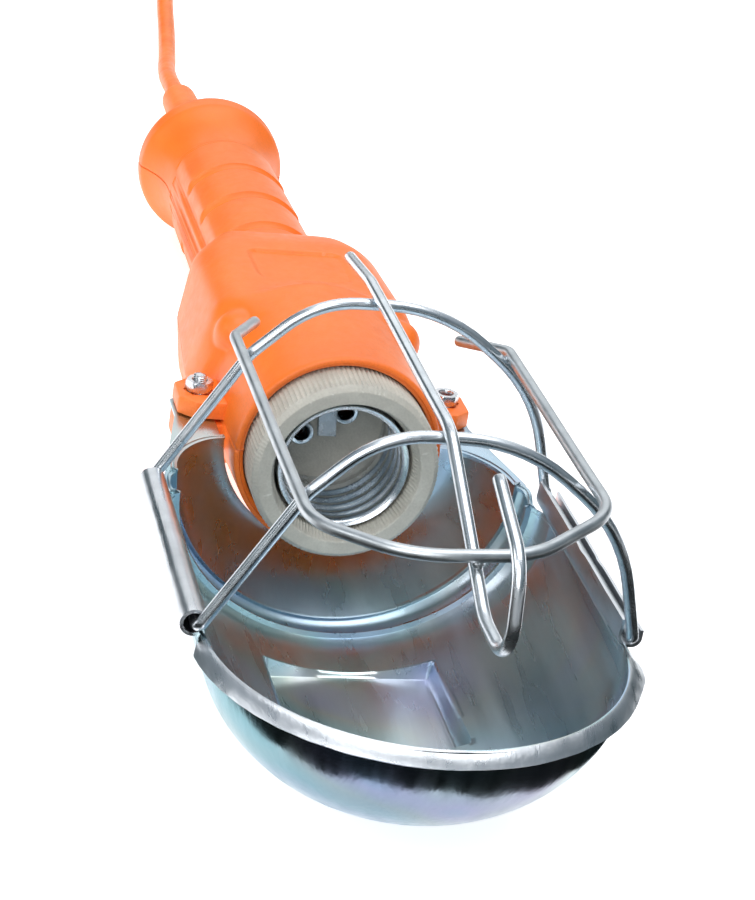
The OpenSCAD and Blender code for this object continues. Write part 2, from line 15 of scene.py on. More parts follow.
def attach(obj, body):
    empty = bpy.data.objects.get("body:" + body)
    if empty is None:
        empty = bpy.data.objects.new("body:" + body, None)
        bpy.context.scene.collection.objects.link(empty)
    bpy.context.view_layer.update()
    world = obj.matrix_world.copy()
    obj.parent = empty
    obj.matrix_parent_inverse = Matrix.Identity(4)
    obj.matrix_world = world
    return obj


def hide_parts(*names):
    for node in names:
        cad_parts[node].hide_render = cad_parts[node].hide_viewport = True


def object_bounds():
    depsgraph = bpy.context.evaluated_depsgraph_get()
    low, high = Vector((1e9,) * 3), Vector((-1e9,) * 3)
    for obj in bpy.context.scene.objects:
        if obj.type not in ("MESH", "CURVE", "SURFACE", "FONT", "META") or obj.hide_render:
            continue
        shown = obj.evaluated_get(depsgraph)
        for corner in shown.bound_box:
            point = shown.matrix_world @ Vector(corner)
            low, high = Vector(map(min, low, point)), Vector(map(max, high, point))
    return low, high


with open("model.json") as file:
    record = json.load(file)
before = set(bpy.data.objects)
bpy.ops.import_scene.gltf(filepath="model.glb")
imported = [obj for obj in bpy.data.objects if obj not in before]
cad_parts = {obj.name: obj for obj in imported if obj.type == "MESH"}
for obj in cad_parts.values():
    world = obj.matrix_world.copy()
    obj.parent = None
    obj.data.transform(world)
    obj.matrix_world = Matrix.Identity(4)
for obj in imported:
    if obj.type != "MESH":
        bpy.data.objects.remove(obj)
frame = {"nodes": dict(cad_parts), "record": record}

CAD_BOX = [list(corner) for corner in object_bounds()]
MM = 0.001
RNG = np.random.default_rng(7)

# ------------------------------------------------------------------ lamp frame

SOCKET_X = -13.0  # where the socket mount lies on the lamp's axis
socket = next(m for m in frame["record"]["mounts"] if m["name"] == "socket")
lamp_axis = Vector(socket["axis"]).normalized()
tilt = math.atan2(lamp_axis.z, lamp_axis.x)
lamp_origin = Vector(socket["pos_m"]) - lamp_axis * SOCKET_X * MM
LAMP = Matrix.Translation(lamp_origin) @ Matrix.Rotation(-tilt, 4, "Y") @ Matrix.Scale(MM, 4)
LAMP_NP = np.array(LAMP)


def to_row(points):
    return np.asarray(points, float) @ LAMP_NP[:3, :3].T + LAMP_NP[:3, 3]


# ------------------------------------------------------------------ camera

CAMERA_PLACE = (488.6, -133.3, 231.9)
CAMERA_YAW, CAMERA_PITCH, CAMERA_ROLL = (math.radians(d) for d in (15.9, 23.96, 9.33))
CAMERA_LENS = 103.3


def make_camera():
    looks = Vector((-math.cos(CAMERA_YAW) * math.cos(CAMERA_PITCH),
                    math.sin(CAMERA_YAW) * math.cos(CAMERA_PITCH), -math.sin(CAMERA_PITCH)))
    level = looks.cross(Vector((0, 0, 1))).normalized()
    above = level.cross(looks)
    turn_c, turn_s = math.cos(CAMERA_ROLL), math.sin(CAMERA_ROLL)
    right = turn_c * level + turn_s * above
    up = turn_c * above - turn_s * level
    data = bpy.data.cameras.new("camera")
    data.lens = CAMERA_LENS
    data.sensor_width = 36
    data.clip_start = 0.01
    camera = bpy.data.objects.new("camera", data)
    bpy.context.scene.collection.objects.link(camera)
    attitude = Matrix((right, up, -looks)).transposed()
    camera.matrix_world = (Matrix.Translation(LAMP @ Vector(CAMERA_PLACE))
                           @ (LAMP.to_quaternion().to_matrix() @ attitude).to_4x4())
    bpy.context.scene.camera = camera


make_camera()

# ------------------------------------------------------------------ materials


def add(tree, kind, inputs=None, **settings):
    """A node of this kind; an input that is a socket is linked, and any other is set."""
    made = tree.nodes.new(kind)
    for key, value in settings.items():
        setattr(made, key, value)
    for key, value in (inputs or {}).items():
        if isinstance(value, bpy.types.NodeSocket):
            tree.links.new(value, made.inputs[key])
        else:
            made.inputs[key].default_value = value
    return made


def rgba(colour):
    return (*colour, 1.0)


def ramp(tree, factor, stops):
    made = add(tree, "ShaderNodeValToRGB", {"Fac": factor})
    elements = made.color_ramp.elements
    while len(elements) < len(stops):
        elements.new(0.5)
    for element, (place, colour) in zip(elements, stops):
        element.position = place
        element.color = rgba(colour)
    return made.outputs["Color"]


def spread(tree, value, low, high, start=0.3, end=0.7):
    return add(tree, "ShaderNodeMapRange", {
        "Value": value, "From Min": start, "From Max": end, "To Min": low, "To Max": high}).outputs["Result"]


def mixed(tree, factor, a, b, how="MIX"):
    made = add(tree, "ShaderNodeMix", {"Factor": factor}, data_type="RGBA", blend_type=how)
    for key, value in ((6, a), (7, b)):
        if isinstance(value, bpy.types.NodeSocket):
            tree.links.new(value, made.inputs[key])
        else:
            made.inputs[key].default_value = rgba(value)
    return made.outputs[2]


def finish(name, stops, patch=70, rough=(0.3, 0.45), grain=900, bump=0.05, metallic=0.0, stretch=(1, 1, 1),
           worn=None, films=None, film_share=0.6, **fixed):
    """A material whose colour, roughness and relief all vary over the surface.

    stops colour the broad patches, patch and grain are features per metre, stretch turns the grain into
    streaks, worn is the colour of rubbed edges, films are the tints of a passivated zinc skin and
    film_share is how far they cover the metal at their thickest.
    """
    material = bpy.data.materials.new(name)
    material.use_nodes = True
    tree = material.node_tree
    shader = tree.nodes["Principled BSDF"]
    place = add(tree, "ShaderNodeTexCoord").outputs["Object"]
    grained = add(tree, "ShaderNodeMapping", {"Vector": place, "Rotation": (0, -tilt, 0), "Scale": stretch})
    broad = add(tree, "ShaderNodeTexNoise", {"Vector": place, "Scale": patch, "Detail": 5, "Distortion": 0.4})
    fine = add(tree, "ShaderNodeTexNoise", {"Vector": grained.outputs[0], "Scale": grain, "Detail": 6})
    colour = ramp(tree, spread(tree, broad.outputs["Fac"], 0, 1), stops)
    if films:
        swirl = add(tree, "ShaderNodeTexNoise", {"Vector": place, "Scale": 22, "Detail": 1.5, "Distortion": 0.6})
        bands = ramp(tree, spread(tree, swirl.outputs["Fac"], 0, 1, 0.3, 0.7),
                     [(k / (len(films) - 1), c) for k, c in enumerate(films)])
        where = add(tree, "ShaderNodeTexNoise", {"Vector": place, "Scale": 15, "Detail": 1})
        colour = mixed(tree, spread(tree, where.outputs["Fac"], 0.0, film_share, 0.36, 0.68), colour, bands)
    speckle = spread(tree, fine.outputs["Fac"], 0.93 + 0.05 * metallic, 1.05 - 0.03 * metallic)
    grey = add(tree, "ShaderNodeCombineColor", {"Red": speckle, "Green": speckle, "Blue": speckle})
    colour = mixed(tree, 1.0, colour, grey.outputs[0], "MULTIPLY")
    if worn:
        edge = add(tree, "ShaderNodeNewGeometry").outputs["Pointiness"]
        rubbed = add(tree, "ShaderNodeMath", {0: spread(tree, edge, 0, 1, 0.53, 0.62), 1: fine.outputs["Fac"]},
                     operation="MULTIPLY").outputs[0]
        colour = mixed(tree, rubbed, colour, worn)
    tree.links.new(colour, shader.inputs["Base Color"])
    rubs = add(tree, "ShaderNodeTexNoise", {"Vector": grained.outputs[0], "Scale": grain / 5, "Detail": 4})
    tree.links.new(spread(tree, rubs.outputs["Fac"], *rough), shader.inputs["Roughness"])
    bumps = add(tree, "ShaderNodeBump", {"Height": fine.outputs["Fac"], "Strength": bump, "Distance": 0.0004})
    tree.links.new(bumps.outputs[0], shader.inputs["Normal"])
    shader.inputs["Metallic"].default_value = metallic
    for key, value in fixed.items():
        shader.inputs[key.replace("_", " ")].default_value = value
    return material


ZINC_FILMS = [(0.44, 0.60, 0.76), (0.60, 0.52, 0.72), (0.66, 0.62, 0.52), (0.46, 0.66, 0.62), (0.50, 0.62, 0.80)]
# Film tints of the dome's outside: the zinc's passivation tints, darkened as painted shade for the shadowed floor the
# dome reflects.
DOME_SHADED_FILMS = [(0.18, 0.32, 0.50), (0.38, 0.32, 0.50), (0.34, 0.38, 0.34), (0.20, 0.40, 0.42), (0.26, 0.36, 0.54)]
M = {
    "orange": finish("orange_plastic", [(0, (0.95, 0.172, 0.012)), (1, (1.0, 0.205, 0.020))], rough=(0.36, 0.46),
                     grain=2200, bump=0.10, worn=(1.0, 0.30, 0.12)),
    "sheet": finish("zinc_sheet", [(0, (0.42, 0.55, 0.65)), (1, (0.54, 0.67, 0.75))], patch=30, rough=(0.22, 0.36),
                    grain=900, bump=0.02, metallic=1.0, stretch=(0.07, 1, 1), films=ZINC_FILMS),
    # dome: a darker copy of the zinc sheet, painted shade for the shadowed floor its outside reflects; its smoother
    # streaked finish and film tints are the zinc's own
    "dome": finish("zinc_dome_painted_shade", [(0, (0.16, 0.26, 0.37)), (1, (0.27, 0.36, 0.43))], patch=34, rough=(0.12, 0.28),
                   grain=1300, bump=0.16, metallic=1.0, stretch=(1, 1, 0.03), films=DOME_SHADED_FILMS, film_share=0.8),
    "bright": finish("bright_zinc", [(0, (0.66, 0.70, 0.74)), (1, (0.84, 0.87, 0.90))], patch=120,
                     rough=(0.20, 0.32), grain=600, bump=0.01, metallic=1.0, stretch=(0.15, 1, 1)),
    "dull": finish("dull_zinc", [(0, (0.48, 0.51, 0.53)), (1, (0.62, 0.65, 0.67))], patch=160, rough=(0.30, 0.46),
                   grain=1200, bump=0.03, metallic=1.0, worn=(0.8, 0.82, 0.84)),
    "tube": finish("rolled_zinc", [(0, (0.50, 0.52, 0.54)), (1, (0.72, 0.74, 0.77))], patch=90, rough=(0.22, 0.40),
                   grain=1500, bump=0.12, metallic=1.0, stretch=(0.05, 1, 1), worn=(0.85, 0.87, 0.9)),
    "porcelain": finish("porcelain", [(0, (0.50, 0.475, 0.415)), (1, (0.60, 0.575, 0.505))], patch=160,
                        rough=(0.38, 0.6), grain=1900, bump=0.25, worn=(0.74, 0.72, 0.66)),
    "shell": finish("nickel_shell", [(0, (0.58, 0.62, 0.66)), (1, (0.80, 0.84, 0.88))], patch=200,
                    rough=(0.16, 0.3), grain=2600, bump=0.06, metallic=1.0),
    "screw": finish("plated_screw", [(0, (0.55, 0.56, 0.58)), (1, (0.80, 0.81, 0.83))], patch=400,
                    rough=(0.16, 0.34), grain=3000, bump=0.10, metallic=1.0, worn=(0.9, 0.9, 0.92)),
    "brass": finish("brass", [(0, (0.55, 0.42, 0.20)), (1, (0.74, 0.60, 0.32))], patch=260, rough=(0.2, 0.4),
                    grain=2600, bump=0.1, metallic=1.0),
    "cord": finish("cord_pvc", [(0, (0.95, 0.20, 0.035)), (1, (1.0, 0.25, 0.05))], patch=90, rough=(0.34, 0.5),
                   grain=1600, bump=0.12),
    "gland": finish("gland_pvc", [(0, (0.95, 0.21, 0.035)), (1, (1.0, 0.26, 0.05))], patch=120, rough=(0.4, 0.55),
                    grain=1900, bump=0.15),
    "brown": finish("lead_brown_pvc", [(0, (0.16, 0.06, 0.025)), (1, (0.24, 0.10, 0.04))], rough=(0.35, 0.5)),
    "blue": finish("lead_blue_pvc", [(0, (0.03, 0.10, 0.34)), (1, (0.06, 0.15, 0.42))], rough=(0.35, 0.5)),
    "ivory": finish("ivory_plastic", [(0, (0.72, 0.66, 0.52)), (1, (0.82, 0.76, 0.62))], rough=(0.4, 0.55),
                    worn=(0.9, 0.86, 0.75)),
    "tie": finish("black_nylon", [(0, (0.012, 0.012, 0.013)), (1, (0.03, 0.03, 0.032))], rough=(0.3, 0.5),
                  grain=2000, bump=0.12, worn=(0.09, 0.09, 0.09)),
}

# ------------------------------------------------------------------ mesh helpers
# A part is (points, faces): points in millimetres, faces as lists of point numbers.


def unit(v):
    return v / np.linalg.norm(v)


def smooth(t, start=0.0, end=1.0):
    t = np.clip((np.asarray(t, float) - start) / (end - start), 0, 1)
    return t * t * (3 - 2 * t)


def quads(rows, cols, close_rows=False, close_cols=False):
    """Faces of a grid of points numbered row by row."""
    i = np.arange(rows if close_rows else rows - 1)[:, None]
    j = np.arange(cols if close_cols else cols - 1)[None, :]
    i2, j2 = (i + 1) % rows, (j + 1) % cols
    corners = (i * cols + j, i * cols + j2, i2 * cols + j2, i2 * cols + j)
    return np.stack([c.ravel() for c in np.broadcast_arrays(*corners)], 1).tolist()


def rounded(points, radii, step=9.0, closed=False):
    """Points of a path whose corners are rounded; a single radius goes for all of them."""
    p = [np.asarray(q, float) for q in points]
    n = len(p)
    radii = [radii] * n if np.isscalar(radii) else radii
    out = []
    for k in range(n):
        if not closed and k in (0, n - 1):
            out.append(p[k])
            continue
        to_a, to_b = p[k - 1] - p[k], p[(k + 1) % n] - p[k]
        u, v = unit(to_a), unit(to_b)
        half = math.acos(float(np.clip(u @ v, -1, 1))) / 2
        if radii[k] <= 0 or half > 1.55:
            out.append(p[k])
            continue
        cut = min(radii[k] / math.tan(half), 0.49 * min(np.linalg.norm(to_a), np.linalg.norm(to_b)))
        r = cut * math.tan(half)
        centre = p[k] + unit(u + v) * r / math.sin(half)
        x = unit(p[k] + u * cut - centre)
        turn = math.pi - 2 * half
        count = max(2, math.ceil(math.degrees(turn) / step))
        out += [centre + (x * math.cos(turn * i / count) - u * math.sin(turn * i / count)) * r
                for i in range(count + 1)]
    return np.array(out)


def spaced(line, gap):
    """The same path with no two points further apart than gap."""
    out = [line[0]]
    for a, b in zip(line[:-1], line[1:]):
        count = max(1, math.ceil(np.linalg.norm(b - a) / gap))
        out += [a + (b - a) * (i + 1) / count for i in range(count)]
    return np.array(out)


def sweep(line, radius, sides=20, blunt=0.4):
    """Round bar along a line, with its ends rounded off over blunt times the radius."""
    line = np.asarray(line, float)
    keep = np.r_[True, np.linalg.norm(np.diff(line, axis=0), axis=1) > 1e-6]
    line = line[keep]
    steps = [math.sin(math.radians(a)) for a in (80, 55, 30, 0)]
    sizes = [0.45, 0.78, 0.94, 1.0]
    first, last = unit(line[0] - line[1]), unit(line[-1] - line[-2])
    start = [line[0] + first * radius * blunt * s for s in steps[:3]]
    end = [line[-1] + last * radius * blunt * s for s in steps[2::-1]]
    path = np.array([*start, *line, *end])
    size = np.array([*sizes[:3], *[1.0] * len(line), *sizes[2::-1]]) * radius
    way = np.gradient(path, axis=0)
    way /= np.linalg.norm(way, axis=1)[:, None]
    side = unit(np.cross(way[0], (0.1, 0.2, 1.0)))
    a = np.linspace(0, 2 * math.pi, sides, endpoint=False)
    rings = []
    for centre, d, r in zip(path, way, size):
        side = unit(side - d * (side @ d))
        rings.append(centre + r * (np.outer(np.cos(a), side) + np.outer(np.sin(a), np.cross(d, side))))
    faces = quads(len(path), sides, close_cols=True)
    count = len(path) * sides
    return np.concatenate(rings), faces + [list(range(sides)), list(range(count - sides, count))]


def lathe(outline, sides=64, closed=True, reshape=None):
    """Turns (radius, x) points about X. reshape(r, x, angle) may give each point another radius."""
    outline = np.asarray(outline, float)[:, :2]
    a = np.broadcast_to(np.linspace(0, 2 * math.pi, sides, endpoint=False), (len(outline), sides))
    r, x = (np.repeat(outline[:, k:k + 1], sides, 1) for k in (0, 1))
    if reshape is not None:
        r = reshape(r, x, a)
    points = np.stack([x, r * np.cos(a), r * np.sin(a)], 2).reshape(-1, 3)
    faces = quads(len(outline), sides, close_rows=closed, close_cols=True)
    if not closed:
        faces += [list(range(sides)), list(range(len(points) - sides, len(points)))]
    return points, faces


def outline(points, radius, step=15.0):
    """Closed outline of (a, b) points with rounded corners, as (n, 2)."""
    flat = [(a, b, 0.0) for a, b in points]
    return rounded(flat, radius, step, closed=True)[:, :2]


def extruded(shape, x0, x1, edge=0.0):
    """Solid along X from a closed (y, z) outline, its end edges rounded by edge."""
    shape = np.asarray(shape, float)
    inward = shape - np.roll(shape, 1, 0)
    inward += np.roll(shape, -1, 0) - shape
    inward = np.stack([-inward[:, 1], inward[:, 0]], 1)
    inward /= np.maximum(np.linalg.norm(inward, axis=1), 1e-9)[:, None]
    area = np.sum(shape[:, 0] * np.roll(shape[:, 1], -1) - np.roll(shape[:, 0], -1) * shape[:, 1])
    inward *= math.copysign(1, area)
    layers = [(x0, edge), (x0 + 0.3 * edge, 0.3 * edge), (x0 + edge, 0)] if edge else [(x0, 0)]
    layers += [(x0 + x1 - x, e) for x, e in reversed(layers)]
    points = np.concatenate([np.column_stack([np.full(len(shape), x), shape + inward * e]) for x, e in layers])
    n = len(shape)
    faces = quads(len(layers), n, close_cols=True)
    return points, faces + [list(range(n)), list(range(len(points) - n, len(points)))]


def turned(part, matrix):
    points = np.asarray(part[0], float)
    m = np.array(matrix)
    return points @ m[:3, :3].T + m[:3, 3], part[1]


def upright(part, place=(0, 0, 0)):
    """A part drawn along X, stood up along Z at a place."""
    return turned(part, Matrix.Translation(place) @ Matrix(((0, 0, 1, 0), (0, 1, 0, 0), (1, 0, 0, 0), (0, 0, 0, 1))))


def mirrored(part):
    return np.asarray(part[0], float) * (1, -1, 1), part[1]


def both(part):
    return [part, mirrored(part)]


def piece(name, parts, material, body="lamp", stands_for=(), sharp=38.0, in_row=False):
    """One object from its parts, riding on a body and standing for CAD nodes."""
    points, faces, base = [], [], 0
    for co, quads_of in parts:
        points.append(np.asarray(co, float))
        faces += [[base + k for k in face] for face in quads_of]
        base += len(co)
    points = np.concatenate(points)
    mesh = bpy.data.meshes.new(name)
    mesh.from_pydata((points * MM if in_row else to_row(points)).tolist(), [], faces)
    work = bmesh.new()
    work.from_mesh(mesh)
    bmesh.ops.recalc_face_normals(work, faces=work.faces)
    work.to_mesh(mesh)
    work.free()
    mesh.shade_smooth()
    mesh.set_sharp_from_angle(angle=math.radians(sharp))
    made = bpy.data.objects.new(name, mesh)
    bpy.context.scene.collection.objects.link(made)
    made.data.materials.append(M[material])
    return settle(made, body, stands_for)


def settle(made, body, stands_for):
    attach(made, body)
    if stands_for:
        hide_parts(*stands_for)
    return made


def carve(target, parts):
    """Cuts closed parts out of a piece."""
    cutter = piece(target.name + "_cut", parts, "orange")
    modifier = target.modifiers.new("cut", "BOOLEAN")
    modifier.object = cutter
    modifier.operation = "DIFFERENCE"
    modifier.solver = "EXACT"
    graph = bpy.context.evaluated_depsgraph_get()
    cut = bpy.data.meshes.new_from_object(target.evaluated_get(graph))
    target.modifiers.clear()
    target.data = cut
    bpy.data.objects.remove(cutter)
    cut.shade_smooth()
    cut.set_sharp_from_angle(angle=math.radians(38))


# ------------------------------------------------------------------ cord, coil and plug (row frame, mm)

CORD_D = 5.6
FLOOR_Z = CORD_D / 2
GLAND_END_X = -262.0
CORD_EXIT = to_row([(GLAND_END_X, 0, 0)])[0] / MM
RUN_ROUTE = [
    (-201, 0, 14.1), (-212, 0.4, 12.2), (-224, 1.4, 9.8), (-236, 3, 7.4), (-250, 5.2, 5), (-266, 7.4, 3.4),
    (-284, 9.6, FLOOR_Z), (-304, 11.7, FLOOR_Z), (-324, 14.3, FLOOR_Z), (-344, 17.4, FLOOR_Z),
    (-366, 20.8, FLOOR_Z), (-388, 22.15, FLOOR_Z),
]
TAIL_ROUTE = [
    (-388, -62.15, 31.3), (-378, -62.2, 30.6), (-366, -62.8, 27.6), (-352, -64, 22), (-338, -65.8, 16),
    (-324, -67.8, 11), (-312, -69.3, 8), (-302, -70, 7),
]
COIL_PLACE = (-388.0, -20.0)
COIL_R = 33.6
TURN_PITCH = CORD_D + 0.1
COIL_COLUMNS = 4
COIL_LAYERS = 6
PLUG_PLACE = (-302.0, -70.0, 7.0)


def coil_points(per_turn=24):
    """Centre line of the wound coil, from where the run meets it to where the tail leaves it.

    Each turn keeps its radius and height, and steps over to the next in its last third.
    """
    outer = COIL_R + (COIL_COLUMNS - 1) * TURN_PITCH / 2
    turns = []
    for layer in range(COIL_LAYERS):
        radii = [outer - k * TURN_PITCH for k in range(COIL_COLUMNS)]
        turns += [(r, FLOOR_Z + layer * TURN_PITCH) for r in (radii if layer % 2 == 0 else radii[::-1])]
    turns.append(turns[-1])
    total = (len(turns) - 1) * per_turn - per_turn // 2
    points = []
    for k in range(1, total):
        turn, part = divmod(k, per_turn)
        share = float(smooth(part / per_turn, 0.64, 1.0))
        r, z = ((1 - share) * np.array(turns[turn]) + share * np.array(turns[turn + 1])
                if turn + 1 < COIL_COLUMNS * COIL_LAYERS else np.array(turns[turn]))
        a = math.radians(90 + 360 * k / per_turn)
        points.append((COIL_PLACE[0] + r * math.cos(a), COIL_PLACE[1] + r * math.sin(a), z))
    return points


def cord_curve():
    line = np.array([CORD_EXIT, *RUN_ROUTE, *coil_points(), *TAIL_ROUTE]) * MM
    data = bpy.data.curves.new("cord_lead", "CURVE")
    data.dimensions = "3D"
    data.bevel_depth = CORD_D / 2 * MM
    data.bevel_resolution = 5
    data.resolution_u = 5
    spline = data.splines.new("BEZIER")
    spline.bezier_points.add(len(line) - 1)
    for point, co in zip(spline.bezier_points, line):
        point.co = co
        point.handle_left_type = point.handle_right_type = "AUTO"
    data.materials.append(M["cord"])
    made = bpy.data.objects.new("cord_lead", data)
    bpy.context.scene.collection.objects.link(made)
    settle(made, "lamp", ("cord_run", "cord_coil", "cord_tail"))
    return made, float(np.linalg.norm(np.diff(line, axis=0), axis=1).sum())


def plug_pieces():
    x0, y0, z0 = PLUG_PLACE

    def section(x, half_y, half_z, count=40):
        a = np.linspace(0, 2 * math.pi, count, endpoint=False)
        power = 0.62
        return np.column_stack([np.full(count, x), y0 + half_y * np.sign(np.cos(a)) * np.abs(np.cos(a)) ** power,
                                z0 + half_z * np.sign(np.sin(a)) * np.abs(np.sin(a)) ** power])

    sleeve = [(0, 3.3, 3.3), (0.6, 3.7, 3.7), (14, 5.0, 5.0), (16, 6.0, 5.6)]
    shell = [(20, 11.5, 6.3), (25, 16.3, 6.6), (29, 17.6, 6.7), (36.6, 17.7, 6.7), (37.6, 17.2, 6.3), (38, 16.4, 5.6)]
    rows = [section(x0 + x, hy, hz) for x, hy, hz in sleeve + shell]
    for k in range(5):
        x = 2.4 + 2.4 * k
        rows.insert(2 + 3 * k, section(x0 + x, 3.75 + 0.1 * x, 3.75 + 0.1 * x))
        rows.insert(3 + 3 * k, section(x0 + x + 0.5, 3.2 + 0.1 * x, 3.2 + 0.1 * x))
        rows.insert(4 + 3 * k, section(x0 + x + 1.0, 3.75 + 0.1 * x, 3.75 + 0.1 * x))
    n = 40
    points = np.concatenate(rows)
    faces = quads(len(rows), n, close_cols=True)
    faces += [list(range(n)), list(range(len(points) - n, len(points)))]
    body = piece("plug_moulding", [(points, faces)], "gland", stands_for=["plug_body"], in_row=True)
    pins = []
    for y in (-9.3, 9.3):
        pin = lathe([(0.4, 29), (2, 29), (2, 52.5), (1.93, 53.5), (1.7, 55.5), (1.2, 57), (0.5, 58)], 28, closed=False)
        pins.append((pin[0] + (x0, y0 + y, z0), pin[1]))
        ring = lathe([(1.9, 37.4), (2.6, 37.4), (2.9, 37.9), (2.7, 38.3), (1.9, 38.3)], 28)
        pins.append((ring[0] + (x0, y0 + y, z0), ring[1]))
    prongs = piece("plug_prongs", pins, "screw", stands_for=["plug_pins"], in_row=True)
    return [body, prongs]


def tie_piece():
    """Ratchet tie round the coil's turns, with its head on the outside."""
    half = ((COIL_COLUMNS - 1) * TURN_PITCH + CORD_D) / 2
    top = (COIL_LAYERS - 1) * TURN_PITCH + CORD_D
    inside = outline([(-half - 0.2, 0.1), (half + 0.2, 0.1), (half + 0.2, top + 0.2), (-half - 0.2, top + 0.2)], 2.2)
    outside = outline([(-half - 1.3, 0.02), (half + 1.3, 0.02), (half + 1.3, top + 1.3), (-half - 1.3, top + 1.3)], 3.0)
    n = len(inside)
    rows = []
    for r, s, y in ((outside, 1, -2.0), (outside, 1, 2.0), (inside, 1, 2.0), (inside, 1, -2.0)):
        rows.append(np.column_stack([r[:, 0] * s, np.full(n, y), r[:, 1]]))
    band = (np.concatenate(rows), quads(4, n, close_rows=True, close_cols=True))
    head = turned(extruded(outline([(-2.1, -2.1), (2.1, -2.1), (2.1, 2.1), (-2.1, 2.1)], 0.5), 0, 3.4, 0.4),
                  Matrix.Translation((0, 0, top - 2.6)))
    head = (head[0] * (0.3, 1, 1) + (half + 0.3, 0, 0), head[1])
    turn = Matrix.Translation((*COIL_PLACE, 0)) @ Matrix.Rotation(math.radians(-35), 4, "Z")
    turn = turn @ Matrix.Translation((COIL_R, 0, 0))
    return piece("coil_band", [turned(band, turn), turned(head, turn)], "tie", stands_for=["coil_tie"],
                 in_row=True)


def make_cord():
    lead, length = cord_curve()
    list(plug_pieces())
    tie_piece()


make_cord()

# ------------------------------------------------------------------ housing

FLANGE_R, FLANGE_X = 20.1, -201.0
GRIP_R, BULGE = 14.6, 1.3
GRIP_X0, GRIP_X1, RINGS = -178.0, -90.0, 4
RING_PITCH = (GRIP_X1 - GRIP_X0) / RINGS
COLLAR_X, COLLAR_R = -9.5, 23.0
COLLAR_BACK_X, COLLAR_BACK_R = -50.0, 24.4
BORE_R = 21.05
SEAT_X = -38.0
WALL = 2.3
# Body box: x, half widths at the seam, the shoulder and the top, heights of the shoulder and the top.
BOX = np.array([
    (-104, 14, 13.2, 9.5, 10.5, 16), (-96, 20.5, 19.2, 14.5, 13, 19), (-87, 25, 23, 16.5, 15.5, 20.5),
    (-50, 28.3, 23, 17.3, 17.5, 20.9), (-44, 28.2, 23.4, 15.5, 12, 19.8), (-39, 27.5, 24, 14, 8, 18),
])
LUMP = (-43.5, 18.8, 13.4, 5.2)
RECESS_X, RECESS_Y, RECESS_DEEP = (-80.0, -60.0), 11.6, 0.7
EAR_X, EAR_Y = -30.8, 28.5
BOSSES = [(-150, 7.3), (-110, -7.3), (-76, 15.5), (-76, -15.5)]


def soft_max(a, b, blend):
    overlap = np.clip(blend - np.abs(a - b), 0, None) / blend
    return np.maximum(a, b) + overlap * overlap * blend / 4


def box_sizes(x):
    """The box's sizes at x, with the changes of slope between its sections eased."""
    near = [x + d for d in (-2.4, -1.2, 0, 1.2, 2.4)]
    return [np.mean([np.interp(v, BOX[:, 0], BOX[:, k]) for v in near], axis=0) for k in range(1, 6)]


def box_radius(x, c, s):
    """Distance from the axis to the box's wall, as a polygon with softened corners."""
    seam_w, side_w, top_w, side_z, top_z = box_sizes(x)
    total = 0.0
    for ny, nz, h in (
        (0 * x, 1 + 0 * x, top_z),
        (top_z - side_z, side_w - top_w, (top_z - side_z) * side_w + (side_w - top_w) * side_z),
        (side_z, seam_w - side_w, side_z * seam_w),
    ):
        total = total + np.clip((ny * c + nz * s) / h, 0, None) ** 26
    ends = smooth(x, -104.6, -100.2) * (1 - 0.3 * smooth(x, -41.5, -36.5))
    return total ** (-1 / 26) * ends


def grip_radius(x, z):
    t = np.clip((x - GRIP_X0) / RING_PITCH, 0, RINGS)
    f = (t - np.floor(t)) * RING_PITCH
    groove = np.exp(-((f - 1.5) / 1.15) ** 2) * (1 + 0.2 * (f < 1.5))
    ring = BULGE * smooth(x, GRIP_X0 - 3, GRIP_X0 + 4) + 0.35 * (f / RING_PITCH - 0.5)
    ring = ring - 1.15 * groove * (x > GRIP_X0 - 1)
    out = np.clip((GRIP_X0 - x) / 17, 0, 1)
    return GRIP_R + ring * smooth(np.abs(z), 5.6, 9.5) + (FLANGE_R - 0.1 - GRIP_R) * out ** 2.2


def housing_radius(x, a, top):
    c, s = np.abs(np.cos(a)), np.sin(a)
    grip = grip_radius(x, GRIP_R * s)
    flat = smooth(x, -178, -172) * (1 - smooth(x, -106, -100))
    side = 14.75 / np.maximum(c, 0.3)
    ribs = 0.6 * np.cos(2 * math.pi * GRIP_R * s / 3.9) * (1 - smooth(GRIP_R * s, 5.0, 6.4))
    ribs = ribs * smooth(x, -174, -150) * (1 - smooth(x, -106, -100))
    grip = np.where(flat > 0, grip + (np.minimum(grip, side) - grip) * flat, grip) + ribs - 0.2 * (ribs > 0)
    collar = np.interp(x, [COLLAR_BACK_X - 14, COLLAR_BACK_X, COLLAR_X], [17.0, COLLAR_BACK_R, COLLAR_R])
    collar = np.where(x < COLLAR_BACK_X - 14, 0, collar)
    box = box_radius(x, c, s)
    r = soft_max(soft_max(grip, box, 1.2), collar, 3.4)
    lump_x, lump_y, lump_z, lump_r = LUMP
    dx = np.clip(lump_r ** 2 - (x - lump_x) ** 2, 0, None) ** 0.5
    along = lump_y * c + lump_z * s
    off = np.clip(dx ** 2 - (lump_y * s - lump_z * c) ** 2, 0, None)
    lump = np.where(off > 0, along + off ** 0.5, 0)
    r = soft_max(r, lump, 1.6)
    if top:
        y = r * c
        corner = np.where(x > sum(RECESS_X) / 2, 5.0, 3.0)
        qx = np.abs(x - sum(RECESS_X) / 2) - (RECESS_X[1] - RECESS_X[0]) / 2 + corner
        qy = y - RECESS_Y + corner
        gap = np.hypot(np.clip(qx, 0, None), np.clip(qy, 0, None)) + np.minimum(np.maximum(qx, qy), 0) - corner
        r = r - RECESS_DEEP * (1 - smooth(gap, -0.4, 0.2)) * (s > 0.3)
    return r


